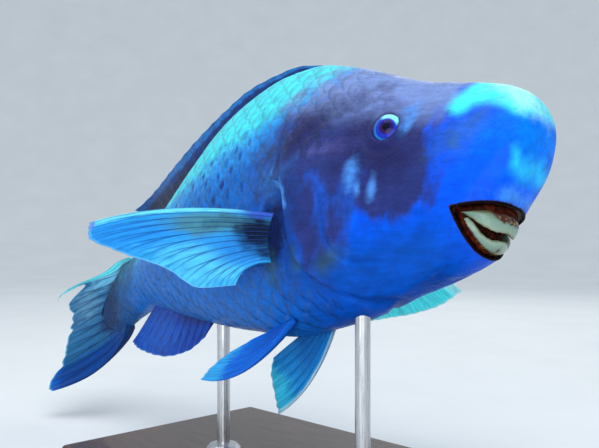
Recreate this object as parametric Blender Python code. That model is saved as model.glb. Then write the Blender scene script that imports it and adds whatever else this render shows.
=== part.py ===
"""Blue parrotfish, a large terminal male, life size and swimming, on a plain display stand.

The fish is first modelled straight: x runs from the tail to the snout, y to the fish's left and z up,
with the snout at the origin. Points are worked out as fractions of LENGTH: (back, left, up).
The finished solids are then bent along the swimming spine, rolled and pitched, and set over the stand.
"""
import math

import bmesh
import bpy
import numpy as np
from mathutils import Matrix

# Driving dimensions: metres for lengths, degrees for angles, the rest are fractions of LENGTH.
LENGTH = 0.60           # snout to the root of the tail fin
GAP = 0.0003            # clearance between pieces that touch
RINGS_HEAD, RINGS_TORSO, RINGS_TAIL = 24, 15, 7
SIDES = 42

# Outlines of the straight body: (distance back from the snout, value).
BACK = ((0, .012), (.006, .037), (.02, .057), (.045, .075), (.08, .092), (.12, .110),
        (.17, .134), (.23, .173), (.30, .216), (.38, .252), (.46, .263), (.56, .250),
        (.66, .209), (.76, .158), (.86, .116), (.94, .090), (1.0, .080), (1.1, .075))
BELLY = ((0, .012), (.004, -.004), (.014, -.030), (.03, -.0545), (.052, -.0775), (.07, -.101),
         (.09, -.1262), (.12, -.1362), (.16, -.1425), (.2, -.1478), (.25, -.158), (.3, -.1660),
         (.4, -.168), (.5, -.147), (.6, -.120), (.7, -.092), (.8, -.067), (.88, -.057),
         (.95, -.060), (1.0, -.070), (1.1, -.08))
BREADTH = ((0, 0), (.004, .019), (.014, .033), (.03, .044), (.06, .051), (.1, .056),
           (.15, .061), (.2, .067), (.3, .087), (.4, .096), (.5, .095), (.6, .086),
           (.7, .070), (.8, .053), (.9, .035), (1.0, .022), (1.1, .015))
FLESH_END = 1.02        # where the flesh is cut off behind the tail stem
CUT_TOP, CUT_FLOOR = .32, -.30      # heights that cutting blocks reach, well clear of the body

# Swimming pose.
YAW = ((0, 0), (.2, 0), (.45, 1), (.7, 5.5), (.88, 12.5), (1.0, -3.5), (1.12, -19), (1.35, 6))
PITCH = ((0, 0), (.2, 0), (.5, 0), (.8, -5.5), (1.0, 9), (1.35, 26))
TAIL_TWIST = 1.6
NOSE_UP = 14.3
ROLL = -16.0

# Seams between head, torso and tail: (height, distance back).
GILL_SEAM = ((-.30, .235), (-.155, .248), (-.14, .268), (-.125, .282), (-.10, .298),
             (-.07, .322), (-.03, .343), (.01, .351), (.05, .350), (.09, .340),
             (.13, .322), (.18, .303), (.32, .290))
TAIL_SEAM = .82
GILL_LIFT = .0045       # how far the gill cover's free edge stands off the body
LIFT_AHEAD, LIFT_RUN = .06, .05     # the lift starts this far ahead of the edge and rises over this
LIFT_TOP, LIFT_FADE = .15, .06      # it ends at this height, fading over this

# Mouth: the upper lip lies in one level plane, the lower lip in one steep plane.
LIP_LEVEL = -.0765
MOUTH_CORNER = .102
LIP_FRONT = .0515
CHIN_EDGE = (.0911, -.1268)
LIP_RADIUS = .0038      # at the corners and along the upper lip
CHIN_LIP_RADIUS = .0026
LIP_INSET = .0012
GUM_RADIUS = .0425      # of the upper gum
GUM_DEPTH = .0078       # height of the upper gum below the upper lip's plane
GUM_RISE = .0065        # height of the lower gum out of the lower lip's plane
GUM_SIDE_RISE = .0025   # added to it at the sides
GUM_FLOOR = (.018, .002)    # how far in and how far down its hollow middle lies

# Beak: plates swept round the jaws. Edges are (degrees from the middle, value).
BEAK_CENTRE = .100
BEAK_RADIUS = .0430
UPPER_REACH = 72
UPPER_EDGE = ((0, -.1050), (24, -.1060), (44, -.1018), (56, -.0965), (66, -.0912), (80, -.0870))
UPPER_PROFILE = ((-.0015, 0), (.0012, .45), (-.0002, .9), (-.0014, 1), (-.0042, .92),
                 (-.0085, .4), (-.0105, 0))
LOWER_REACH = 62
LOWER_DOWN, LOWER_SIDE = .0482, .0440
LOWER_EDGE = ((0, .0270), (8, .0250), (20, .0185), (40, .0145), (55, .0132), (72, .0118))
LOWER_PROFILE = ((0, 0), (.0010, .3), (-.0018, .9), (-.0036, 1), (-.0062, .9),
                 (-.0090, .4), (-.0105, 0))

# Eyes and nostrils, as (back, up) on the side of the head.
EYE_PLACE = (.189, .052)
EYE_RADIUS = .029
EYE_SHOWS = .0205       # radius of the part of the ball that shows
EYE_AXIS = (.30, .95, .02)
ORBIT = ((-.022, .012), (-.020, .026), (-.008, .0285), (-.003, .0262), (0, .0232),
         (.0008, .0210), (-.004, .018))
NOSTRILS = ((.118, .034), (.101, .044))
NOSTRIL_PIT = ((-.006, .0008), (-.004, .0026), (.0, .0034), (.004, .0042))
NOSTRIL_AXIS = (.12, 1, .08)
CHEEK_LINE = ((.300, -.030), (.299, -.050), (.290, -.071), (.272, -.091), (.245, -.106),
              (.212, -.112))
CHEEK_GROOVE = .0016

# Fins: a row of ray roots and a row of ray tips, both (back, left, up).
RIDGE = .0011           # how far a ray stands out of its membrane at the root
NOTCH = .03             # how far the membrane falls short between two rays
PLATE_EDGE = .0007      # half thickness of a membrane at its margin
DORSAL_ROOT = (.335, .42, .51, .60, .69, .77, .825, .865)
DORSAL_SUNK = .012
DORSAL_TIP = ((.352, 0, .248), (.452, 0, .281), (.560, 0, .290), (.660, 0, .275), (.755, 0, .251),
              (.845, 0, .224), (.915, 0, .207), (.985, 0, .192))
ANAL_ROOT = (.615, .675, .73, .785, .835)
ANAL_SUNK = .010
ANAL_TIP = ((.641, 0, -.135), (.690, 0, -.152), (.752, 0, -.156), (.855, 0, -.144),
            (.942, 0, -.122), (.975, 0, -.102))
PECTORAL_ROOT = ((.352, .080, -.026), (.362, .080, -.046), (.372, .078, -.066),
                 (.380, .076, -.086))
PECTORAL_RIGHT = ((.600, -.235, -.018), (.604, -.232, -.036), (.570, -.200, -.056),
                  (.503, -.165, -.087), (.459, -.135, -.118), (.405, -.115, -.121))
PECTORAL_RIGHT_BOW = ((0, -.012, .008), (0, -.012, .004))
PECTORAL_LEFT = ((.405, .365, -.022), (.440, .350, -.044), (.472, .318, -.060),
                 (.490, .272, -.074), (.480, .215, -.092), (.440, .150, -.110))
PECTORAL_LEFT_BOW = ((0, 0, .014), (0, 0, .006))
PELVIC_ROOT = ((.374, .036, -.158), (.390, .032, -.158), (.418, .022, -.154))
PELVIC_RIGHT = ((.565, -.050, -.217), (.548, -.050, -.205), (.508, -.046, -.186),
                (.458, -.040, -.171))
PELVIC_RIGHT_BOW = ((0, 0, -.028), (0, 0, 0))
PELVIC_LEFT = ((.543, .080, -.254), (.538, .068, -.232), (.533, .054, -.201),
               (.510, .038, -.178))
PELVIC_LEFT_BOW = ((-.012, 0, -.014), (0, 0, 0))
STRAIGHT = ((0, 0, 0), (0, 0, 0))

# Tail fin, from its lower edge at -1 to its upper edge at 1.
TAIL_RAYS = 14
TAIL_STEPS = 9
TAIL_REACH = ((-1, .190), (-.9, .207), (-.78, .206), (-.62, .180), (-.4, .168), (.15, .170),
              (.5, .190), (.8, .250), (1, .294))
TAIL_HEIGHT = ((-1, -.149), (-.9, -.138), (-.78, -.119), (-.5, -.084), (0, .004), (.5, .088),
               (.8, .134), (1, .152))
TAIL_FULLNESS = .35     # how early the outer rays spread
TAIL_LOW_BULGE = .016
TAIL_SCALY = .42        # share of the fin that the thick root covers
TAIL_INSET = .985       # its root is this much smaller than the tail stem's end

# Stand, in metres.
BASE_LONG, BASE_WIDE, BASE_THICK = .40, .24, .018
BASE_EDGE = .004
BASE_CLEAR = .014       # free height below the lowest fin
ROD_RADIUS = .006
ROD_FLANGE = ((0, .016), (.003, .016), (.006, .013), (.007, ROD_RADIUS))
ROD_PLACES = (.285, .590)
ROD_OVERLONG = .02      # cut off again along the belly
STAND_MIDDLE = .43


def curve(knots, x):
    """Smooth curve through knots that never overshoots them: cubic Hermite with harmonic mean slopes."""
    k = np.array(knots, float)
    kx, ky = k[:, 0], k[:, 1]
    step = np.diff(kx)
    rise = np.diff(ky) / step
    slope = np.zeros(len(kx))
    w1 = 2 * step[1:] + step[:-1]
    w2 = step[1:] + 2 * step[:-1]
    same = rise[:-1] * rise[1:] > 0
    a = np.where(same, rise[:-1], 1)
    b = np.where(same, rise[1:], 1)
    slope[1:-1] = np.where(same, (w1 + w2) / (w1 / a + w2 / b), 0)
    slope[0], slope[-1] = rise[0], rise[-1]
    x = np.clip(np.asarray(x, float), kx[0], kx[-1])
    i = np.clip(np.searchsorted(kx, x, side="right") - 1, 0, len(kx) - 2)
    t = (x - kx[i]) / step[i]
    return (ky[i] * (1 + 2 * t) * (1 - t) ** 2 + slope[i] * step[i] * t * (1 - t) ** 2
            + ky[i + 1] * t * t * (3 - 2 * t) + slope[i + 1] * step[i] * t * t * (t - 1))


def smooth_step(x):
    t = np.clip(x, 0, 1)
    return t * t * (3 - 2 * t)


def shape_powers(s):
    """Exponents of the superellipse above and below the widest level: boxy snout, slim back."""
    k = np.clip((s - .1) / .25, 0, 1)
    return 2.3 - .65 * k, 2.3 - .2 * k


def section(s, angle):
    """Point of the body at distance s back, angle 0 at the back and pi at the belly, plus to the left."""
    top, low, half = curve(BACK, s), curve(BELLY, s), curve(BREADTH, s)
    middle = .45 * top + .55 * low
    upper, lower = shape_powers(s)
    c, d = np.cos(angle), np.sin(angle)
    power = np.where(c > 0, upper, lower)
    z = np.abs(c) ** (2 / power)
    z = np.where(c > 0, middle + (top - middle) * z, middle - (middle - low) * z)
    y = half * np.sign(d) * np.abs(d) ** (2 / power)
    return np.stack(np.broadcast_arrays(s, y, z), -1)


def side(s, z):
    """Half breadth of the body at distance s and height z."""
    top, low, half = curve(BACK, s), curve(BELLY, s), curve(BREADTH, s)
    middle = .45 * top + .55 * low
    upper, lower = shape_powers(s)
    power = np.where(z > middle, upper, lower)
    reach = np.where(z > middle, (z - middle) / (top - middle), (middle - z) / (middle - low))
    return half * np.clip(1 - np.clip(reach, 0, 1) ** power, 0, 1) ** (1 / power)


def metres(points):
    """Fractions (back, left, up) to straight metres."""
    p = np.asarray(points, float)
    return p * np.array([-1, 1, 1]) * LENGTH


def material(name, colour, roughness, metallic=0.0):
    m = bpy.data.materials.new(name)
    m.use_nodes = True
    shader = m.node_tree.nodes["Principled BSDF"]
    shader.inputs["Base Color"].default_value = (*colour, 1)
    shader.inputs["Roughness"].default_value = roughness
    shader.inputs["Metallic"].default_value = metallic
    return m


def make(name, points, faces, finish=None):
    """Mesh object from straight metres and faces, with its normals made to point outwards."""
    mesh = bpy.data.meshes.new(name)
    mesh.from_pydata([tuple(p) for p in np.asarray(points, float)], [], faces)
    b = bmesh.new()
    b.from_mesh(mesh)
    bmesh.ops.recalc_face_normals(b, faces=b.faces)
    b.to_mesh(mesh)
    b.free()
    if finish:
        mesh.materials.append(finish)
    thing = bpy.data.objects.new(name, mesh)
    bpy.context.scene.collection.objects.link(thing)
    return thing


def grid_faces(rows, columns, wrap=False):
    """Triangles of a grid of points, split alike everywhere; wrap joins the last column to the first."""
    faces = []
    for i in range(rows - 1):
        for j in range(columns if wrap else columns - 1):
            k = (j + 1) % columns
            a, b, c, d = i * columns + j, i * columns + k, (i + 1) * columns + k, (i + 1) * columns + j
            faces += [(a, b, c), (a, c, d)]
    return faces


def capped_tube(name, rings, finish=None):
    """Closed solid through rings of points, with a middle point closing each end."""
    rings = np.asarray(rings, float)
    rows, columns = rings.shape[:2]
    points = np.concatenate([rings.reshape(-1, 3), rings[:1].mean(1), rings[-1:].mean(1)])
    faces = grid_faces(rows, columns, wrap=True)
    first, last = rows * columns, rows * columns + 1
    base = (rows - 1) * columns
    for j in range(columns):
        k = (j + 1) % columns
        faces += [(first, k, j), (last, base + j, base + k)]
    return make(name, points, faces, finish)


def drop(thing):
    mesh = thing.data
    bpy.data.objects.remove(thing)
    bpy.data.meshes.remove(mesh)


def clean(thing):
    """Merge what a cut leaves doubled, keep the largest closed surface and make all faces triangles."""
    b = bmesh.new()
    b.from_mesh(thing.data)
    bmesh.ops.remove_doubles(b, verts=b.verts, dist=2e-6)
    bmesh.ops.dissolve_degenerate(b, edges=b.edges, dist=1e-6)
    bmesh.ops.triangulate(b, faces=b.faces)
    left = set(b.faces)
    shells = []
    while left:
        seed = left.pop()
        shell, front = {seed}, [seed]
        while front:
            face = front.pop()
            for edge in face.edges:
                for other in edge.link_faces:
                    if other in left:
                        left.discard(other)
                        shell.add(other)
                        front.append(other)
        shells.append(shell)
    keep = max(shells, key=len)
    bmesh.ops.delete(b, geom=[f for s in shells if s is not keep for f in s], context="FACES")
    loose = [v for v in b.verts if not v.link_faces]
    bmesh.ops.delete(b, geom=loose, context="VERTS")
    b.to_mesh(thing.data)
    b.free()


def cut(thing, tool, operation="DIFFERENCE"):
    """Apply one Boolean to thing and tidy the result."""
    modifier = thing.modifiers.new("cut", "BOOLEAN")
    modifier.operation = operation
    modifier.object = tool
    modifier.solver = "EXACT"
    graph = bpy.context.evaluated_depsgraph_get()
    result = bpy.data.meshes.new_from_object(thing.evaluated_get(graph))
    thing.modifiers.remove(modifier)
    old = thing.data
    thing.data = result
    result.name = thing.name
    bpy.data.meshes.remove(old)
    drop(tool)
    clean(thing)
    return thing


def stations():
    """Distances back of the body's rings: close together at the snout, where the outline turns."""
    head = .40 * np.linspace(0, 1, RINGS_HEAD + 1)[1:] ** 1.75
    torso = np.linspace(.40, TAIL_SEAM, RINGS_TORSO + 1)[1:]
    tail = np.linspace(TAIL_SEAM, 1.0, RINGS_TAIL + 1)[1:]
    return np.concatenate([head, torso, tail])


def flesh(name, finish=None, lifted=False, grow=0.0):
    """The whole body without fins. lifted raises the gill cover's edge; grow moves the skin out."""
    s = stations()
    angle = np.linspace(0, 2 * math.pi, SIDES, endpoint=False)
    points = section(s[:, None], angle[None, :])
    if lifted:
        seam = curve(GILL_SEAM, points[..., 2])
        rise = smooth_step((points[..., 0] - seam + LIFT_AHEAD) / LIFT_RUN)
        rise *= smooth_step((LIFT_TOP - points[..., 2]) / LIFT_FADE)
        points[..., 1] *= 1 + GILL_LIFT * rise / np.maximum(np.abs(points[..., 1]), .03)
    rings = metres(points)
    nose = metres([(0, 0, curve(BACK, 0.0))])
    rows, columns = rings.shape[:2]
    tail = rings[-1:].mean(1)
    points = np.concatenate([rings.reshape(-1, 3), nose, tail])
    faces = grid_faces(rows, columns, wrap=True)
    base = (rows - 1) * columns
    for j in range(columns):
        k = (j + 1) % columns
        faces += [(rows * columns, k, j), (rows * columns + 1, base + j, base + k)]
    body = make(name, points, faces, finish)
    if grow:
        mesh = body.data
        normals = np.array([tuple(v.normal) for v in mesh.vertices])
        moved = points + normals * grow
        mesh.vertices.foreach_set("co", moved.ravel())
        mesh.update()
    return body


def prism(name, outline, half=.25):
    """Straight prism across the fish from an outline of (back, up) points."""
    outline = np.array(outline, float)
    count = len(outline)
    points = [(s, -half, z) for s, z in outline] + [(s, half, z) for s, z in outline]
    faces = [tuple(range(count)), tuple(range(2 * count - 1, count - 1, -1))]
    faces += [(i, (i + 1) % count, (i + 1) % count + count, i + count) for i in range(count)]
    return make(name, metres(points), faces)


def seam_points(shift):
    z = np.linspace(CUT_FLOOR, CUT_TOP, 32)
    return [(float(s) + shift, float(h)) for s, h in zip(curve(GILL_SEAM, z), z)]


def tube(name, path, radius, sides=8, closed=False, finish=None):
    """Round tube along points given as fractions; radius may vary along it."""
    path = metres(path)
    count = len(path)
    radius = np.broadcast_to(np.asarray(radius, float) * LENGTH, (count,))
    if closed:
        along = np.roll(path, -1, 0) - np.roll(path, 1, 0)
    else:
        along = np.gradient(path, axis=0)
    along /= np.linalg.norm(along, axis=1, keepdims=True)
    centre = path.mean(0)
    outward = path - centre
    outward -= (outward * along).sum(1, keepdims=True) * along
    outward /= np.linalg.norm(outward, axis=1, keepdims=True)
    across = np.cross(along, outward)
    turn = np.linspace(0, 2 * math.pi, sides, endpoint=False)
    rings = path[:, None] + radius[:, None, None] * (np.cos(turn)[None, :, None] * outward[:, None]
                                                      + np.sin(turn)[None, :, None] * across[:, None])
    if not closed:
        return capped_tube(name, rings, finish)
    rings = np.concatenate([rings, rings[:1]])
    faces = []
    for i in range(count):
        k = (i + 1) % count
        for j in range(sides):
            m = (j + 1) % sides
            a, b, c, d = i * sides + j, i * sides + m, k * sides + m, k * sides + j
            faces += [(a, b, c), (a, c, d)]
    return make(name, rings[:-1].reshape(-1, 3), faces, finish)


def lip_plane(z):
    """Distance back of the steep lower lip plane at height z."""
    t = (z - LIP_LEVEL) / (CHIN_EDGE[1] - LIP_LEVEL)
    return MOUTH_CORNER + (CHIN_EDGE[0] - MOUTH_CORNER) * t


def lip_line():
    """Closed line of both lips on the skin: level above, steep below, meeting at the corners."""
    turn = np.linspace(-math.pi / 2, math.pi / 2, 21)
    bow, sway = np.cos(turn), np.sign(np.round(turn, 6))
    s = MOUTH_CORNER - (MOUTH_CORNER - LIP_FRONT) * bow
    breadth = side(s, np.full_like(s, LIP_LEVEL)) - LIP_INSET
    upper = np.stack([s + LIP_INSET * bow, breadth * sway, np.full_like(s, LIP_LEVEL)], -1)
    z = LIP_LEVEL + (CHIN_EDGE[1] - LIP_LEVEL) * bow
    breadth = side(lip_plane(z), z) - LIP_INSET
    lower = np.stack([lip_plane(z), breadth * sway, z + LIP_INSET * bow], -1)
    return np.concatenate([upper, lower[-2:0:-1]])


def lip_tube(name, grow=0.0):
    """Round lips along the lip line, slimmer at the chin; grow widens them into a guard."""
    line = lip_line()
    slim = smooth_step((LIP_LEVEL - .012 - line[:, 2]) / .025)
    radius = LIP_RADIUS + (CHIN_LIP_RADIUS - LIP_RADIUS) * slim
    return tube(name, line, radius + grow, closed=True)


def eye_frame(left):
    """Centre of one eyeball and its outward axis, in straight metres; left is 1 or -1."""
    s, z = EYE_PLACE
    axis = np.array([EYE_AXIS[0], EYE_AXIS[1] * left, EYE_AXIS[2]])
    axis /= np.linalg.norm(axis)
    skin = metres((s, left * float(side(s, z)), z))
    depth = math.sqrt(EYE_RADIUS ** 2 - EYE_SHOWS ** 2) * LENGTH
    return skin - axis * depth, axis


def frame_on(axis):
    """Rotation that carries +Z to axis."""
    z = np.array(axis, float)
    z /= np.linalg.norm(z)
    x = np.cross((0, 0, 1), z) if abs(z[2]) < .9 else np.cross((0, 1, 0), z)
    x /= np.linalg.norm(x)
    return np.stack([x, np.cross(z, x), z], 1)


def lathe(name, foot, axis, profile, sides=22, finish=None):
    """Closed turned solid about axis from a profile of (height above foot, radius)."""
    turn = np.linspace(0, 2 * math.pi, sides, endpoint=False)
    high, wide = np.array(profile, float).T[..., None]
    local = np.stack(np.broadcast_arrays(wide * np.cos(turn), wide * np.sin(turn), high), -1)
    return capped_tube(name, np.asarray(foot) + local @ frame_on(axis).T, finish)


def ball(name, centre, radius, axis, finish=None):
    """Closed sphere as a turned solid with a small flat at each pole."""
    polar = np.radians(np.linspace(5, 175, 11))
    profile = np.stack([radius * np.cos(polar), radius * np.sin(polar)], -1)
    return lathe(name, centre, axis, profile, finish=finish)


def build_head(skin):
    head = flesh("head", skin, lifted=True)
    front = [(-.2, CUT_TOP)] + seam_points(-GAP / LENGTH / 2)[::-1] + [(-.2, CUT_FLOOR)]
    cut(head, prism("front block", front), "INTERSECT")
    below = -.18
    notch = [(-.1, LIP_LEVEL), (MOUTH_CORNER, LIP_LEVEL), CHIN_EDGE,
             (float(lip_plane(below)), below), (-.1, below)]
    cut(head, prism("mouth block", notch))
    cut(head, lip_tube("lips"), "UNION")
    for left in (1, -1):
        centre, axis = eye_frame(left)
        depth = math.sqrt(EYE_RADIUS ** 2 - EYE_SHOWS ** 2)
        mound = [((depth + high) * LENGTH, wide * LENGTH) for high, wide in ORBIT]
        cut(head, lathe("orbit", centre, axis, mound), "UNION")
        cut(head, ball("socket", centre, EYE_RADIUS * LENGTH + GAP, axis))
        for s, z in NOSTRILS:
            skin_point = metres((s, left * float(side(s, z)), z))
            pit = np.array(NOSTRIL_PIT) * LENGTH
            axis = np.array(NOSTRIL_AXIS) * np.array([1, left, 1])
            cut(head, lathe("nostril", skin_point, axis, pit, sides=10))
        line = np.array([(s, left * float(side(s, z)), z) for s, z in CHEEK_LINE])
        line = spread(line, 15)
        fade = np.sin(np.linspace(.25, math.pi - .25, len(line)))
        cut(head, tube("cheek groove", line, CHEEK_GROOVE * fade, sides=6))
    return head


def build_eyes(finish):
    for name, left in (("eye_left", 1), ("eye_right", -1)):
        centre, axis = eye_frame(left)
        ball(name, centre, EYE_RADIUS * LENGTH, axis, finish=finish)


def build_gums(finish):
    """Dark pads that fill the roof and the floor of the mouth behind the lips."""
    gap = GAP / LENGTH
    turn = np.linspace(-math.pi / 2, math.pi / 2, 17)
    outline = np.stack([BEAK_CENTRE - GUM_RADIUS * np.cos(turn), GUM_RADIUS * np.sin(turn)], -1)
    rings = [[(s, y, z) for s, y in outline] for z in (LIP_LEVEL - gap, LIP_LEVEL - GUM_DEPTH)]
    cut(capped_tube("gum_upper", metres(rings), finish), lip_tube("lip guard", gap))
    down, out = lower_frame()
    origin = np.array([MOUTH_CORNER, 0, LIP_LEVEL])
    ring = origin + lower_round(turn, .0003)
    rise = GUM_RISE + GUM_SIDE_RISE * np.sin(turn) ** 2
    inner = origin + lower_round(turn, -GUM_FLOOR[0])
    rings = [ring + out * gap, ring + out * rise[:, None], inner + out * (rise[:, None] - GUM_FLOOR[1])]
    pad = capped_tube("gum_lower", metres(rings), finish)
    roof = LIP_LEVEL - GUM_DEPTH - gap
    cut(pad, prism("roof block", [(-.1, .1), (.2, .1), (.2, roof), (-.1, roof)]))
    cut(pad, lip_tube("lip guard", gap))


def lower_frame():
    """Unit directions, as (back, left, up): down along the lower lip's plane, and out of the mouth."""
    down = np.array([CHIN_EDGE[0] - MOUTH_CORNER, 0, CHIN_EDGE[1] - LIP_LEVEL])
    down /= np.linalg.norm(down)
    out = np.array([down[2], 0, -down[0]])
    return down, out


def lower_round(angle, grow=0.0):
    """Vector in the lower lip's plane from the mouth corner to the jaw's oval, angle 0 at the chin."""
    down, _ = lower_frame()
    across = np.array([0, 1, 0])
    angle = np.asarray(angle)[..., None]
    return down * (LOWER_DOWN + grow) * np.cos(angle) + across * (LOWER_SIDE + grow) * np.sin(angle)


def build_beaks(finish):
    """Two cupped plates: the upper hangs from the roof, the lower stands out from the chin."""
    gap = GAP / LENGTH
    top = LIP_LEVEL - GUM_DEPTH - gap
    degrees = np.linspace(-UPPER_REACH, UPPER_REACH, 23)
    rings = []
    centre = np.array([BEAK_CENTRE, 0, top])
    for a, low in zip(np.radians(degrees), curve(UPPER_EDGE, np.abs(degrees))):
        outward = np.array([-math.cos(a), math.sin(a), 0])
        rings.append([centre + outward * (BEAK_RADIUS + r) + np.array([0, 0, (low - top) * t])
                      for r, t in UPPER_PROFILE])
    capped_tube("beak_upper", metres(rings), finish)
    _, out = lower_frame()
    degrees = np.linspace(-LOWER_REACH, LOWER_REACH, 23)
    corner = np.array([MOUTH_CORNER, 0, LIP_LEVEL])
    rings = []
    for a, far in zip(np.radians(degrees), curve(LOWER_EDGE, np.abs(degrees))):
        foot = GUM_RISE + GUM_SIDE_RISE * math.sin(a) ** 2 + gap
        rings.append([corner + lower_round(a, r) + out * (foot + (far - GUM_RISE) * t)
                      for r, t in LOWER_PROFILE])
    capped_tube("beak_lower", metres(rings), finish)


def build_torso(skin):
    torso = flesh("torso", skin)
    half_gap = GAP / LENGTH / 2
    rear = TAIL_SEAM - half_gap
    outline = seam_points(half_gap) + [(rear, CUT_TOP), (rear, CUT_FLOOR)]
    cut(torso, prism("torso block", outline), "INTERSECT")
    tail = flesh("tail_stem", skin)
    start = TAIL_SEAM + half_gap
    outline = [(start, CUT_TOP), (FLESH_END, CUT_TOP), (FLESH_END, CUT_FLOOR), (start, CUT_FLOOR)]
    cut(tail, prism("tail block", outline), "INTERSECT")


def spread(points, count):
    """Points spaced evenly in parameter along a smooth curve through hand-set points."""
    p = np.array(points, float)
    t = np.linspace(0, 1, len(p))
    u = np.linspace(0, 1, count)
    return np.stack([curve(np.stack([t, p[:, i]], -1), u) for i in range(3)], -1)


def plate(name, middle, half, normal, finish):
    """Closed plate about a grid of middle points, both faces split alike along the same diagonals."""
    columns, rows = middle.shape[:2]
    sheets = [middle + normal * half[..., None], middle - normal * half[..., None]]
    points = metres(np.concatenate([sheet.reshape(-1, 3) for sheet in sheets]))
    count = columns * rows
    faces = grid_faces(columns, rows)
    faces += [(a + count, c + count, b + count) for a, b, c in faces]
    rim = [i * rows for i in range(columns)] + [(columns - 1) * rows + j for j in range(1, rows)]
    rim += [i * rows + rows - 1 for i in range(columns - 2, -1, -1)] + list(range(rows - 2, 0, -1))
    for a, b in zip(rim, rim[1:] + rim[:1]):
        faces += [(a, b, b + count), (a, b + count, a + count)]
    return make(name, points, faces, finish)


def fan_fin(name, roots, ends, finish, bows=STRAIGHT, rays=8, steps=8, root_half=.004):
    """Fin as one closed plate. Rays run from roots to ends, and bows push their middles out.

    The half thickness falls from root_half to PLATE_EDGE along each ray. Every second column is a ray,
    raised by RIDGE on both faces; the membrane columns between them end short by the share NOTCH.
    """
    columns = 2 * rays - 1
    ray = (np.arange(columns) % 2 == 0)[:, None]
    a, b, bow = spread(roots, columns), spread(ends, columns), spread(bows, columns)
    b = np.where(ray, b, b + (a - b) * NOTCH)
    v = np.linspace(0, 1, steps + 1)
    middle = a[:, None] + (b - a)[:, None] * v[None, :, None]
    middle = middle + bow[:, None] * (4 * v * (1 - v))[None, :, None]
    normal = np.cross(np.gradient(middle, axis=1), np.gradient(middle, axis=0))
    normal /= np.linalg.norm(normal, axis=2, keepdims=True)
    half = PLATE_EDGE + (root_half - PLATE_EDGE) * (1 - v)[None, :] ** 2
    half = half + np.where(ray, RIDGE, 0) * (1 - .7 * v)[None, :]
    return plate(name, middle, half, normal, finish)


def skin_guard():
    """The body a little larger, to trim what stands on the skin a clearance away from it."""
    return flesh("skin guard", grow=GAP * 1.15)


def rooted(fin):
    """Trim a fin's sunken root along the skin."""
    return cut(fin, skin_guard())


def build_median_fins(finish):
    dorsal = [(s, 0, float(curve(BACK, s)) - DORSAL_SUNK) for s in DORSAL_ROOT]
    rooted(fan_fin("dorsal_fin", dorsal, DORSAL_TIP, finish, rays=19, steps=5))
    anal = [(s, 0, float(curve(BELLY, s)) + ANAL_SUNK) for s in ANAL_ROOT]
    rooted(fan_fin("anal_fin", anal, ANAL_TIP, finish, rays=12, steps=5))


def build_tail_fin(finish):
    """Crescent tail: thick scaly root as tall as the stem, thin spread lobes behind it."""
    u = np.linspace(-1, 1, 2 * TAIL_RAYS + 1)
    v = np.linspace(0, 1, TAIL_STEPS + 1)
    ray = np.arange(len(u)) % 2 == 0
    top, low = float(curve(BACK, 1.0)), float(curve(BELLY, 1.0))
    root = (top + low) / 2 + (top - low) / 2 * TAIL_INSET * np.sin(u * math.pi / 2)
    reach = curve(TAIL_REACH, u) * np.where(ray, 1, 1 - NOTCH)
    height = curve(TAIL_HEIGHT, u)
    fullness = 1 - TAIL_FULLNESS * np.abs(u)[:, None] ** 3
    up = root[:, None] + (height - root)[:, None] * v[None, :] ** fullness
    up -= TAIL_LOW_BULGE * (np.clip(-u, 0, 1) ** 3)[:, None] * (4 * v * (1 - v))[None, :]
    back = 1.0 + GAP / LENGTH + reach[:, None] * v[None, :]
    oval = np.sqrt(np.clip(1 - np.abs(np.sin(u * math.pi / 2)) ** 2.2, 0, 1))
    thick = float(curve(BREADTH, 1.0)) * TAIL_INSET * np.clip(1 - v / TAIL_SCALY, 0, 1) ** 2
    ridge = np.where(ray, RIDGE, 0)[:, None] * (1 - .7 * v)[None, :]
    half = PLATE_EDGE + oval[:, None] * thick[None, :] + ridge
    middle = np.stack([back, np.zeros_like(back), up], -1)
    plate("caudal_fin", middle, half, np.array([0.0, 1.0, 0.0]), finish)


def mirrored(points):
    return [(s, -y, z) for s, y, z in points]


def build_paired_fins(finish):
    """Breast fins spread like wings, belly fins trailing below."""
    rooted(fan_fin("pectoral_fin_right", mirrored(PECTORAL_ROOT), PECTORAL_RIGHT, finish,
                   PECTORAL_RIGHT_BOW, rays=14, root_half=.0045))
    rooted(fan_fin("pectoral_fin_left", PECTORAL_ROOT, PECTORAL_LEFT, finish,
                   PECTORAL_LEFT_BOW, rays=14, root_half=.0045))
    rooted(fan_fin("pelvic_fin_right", mirrored(PELVIC_ROOT), PELVIC_RIGHT, finish,
                   PELVIC_RIGHT_BOW, rays=7, steps=6))
    rooted(fan_fin("pelvic_fin_left", PELVIC_ROOT, PELVIC_LEFT, finish,
                   PELVIC_LEFT_BOW, rays=7, steps=6))


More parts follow.
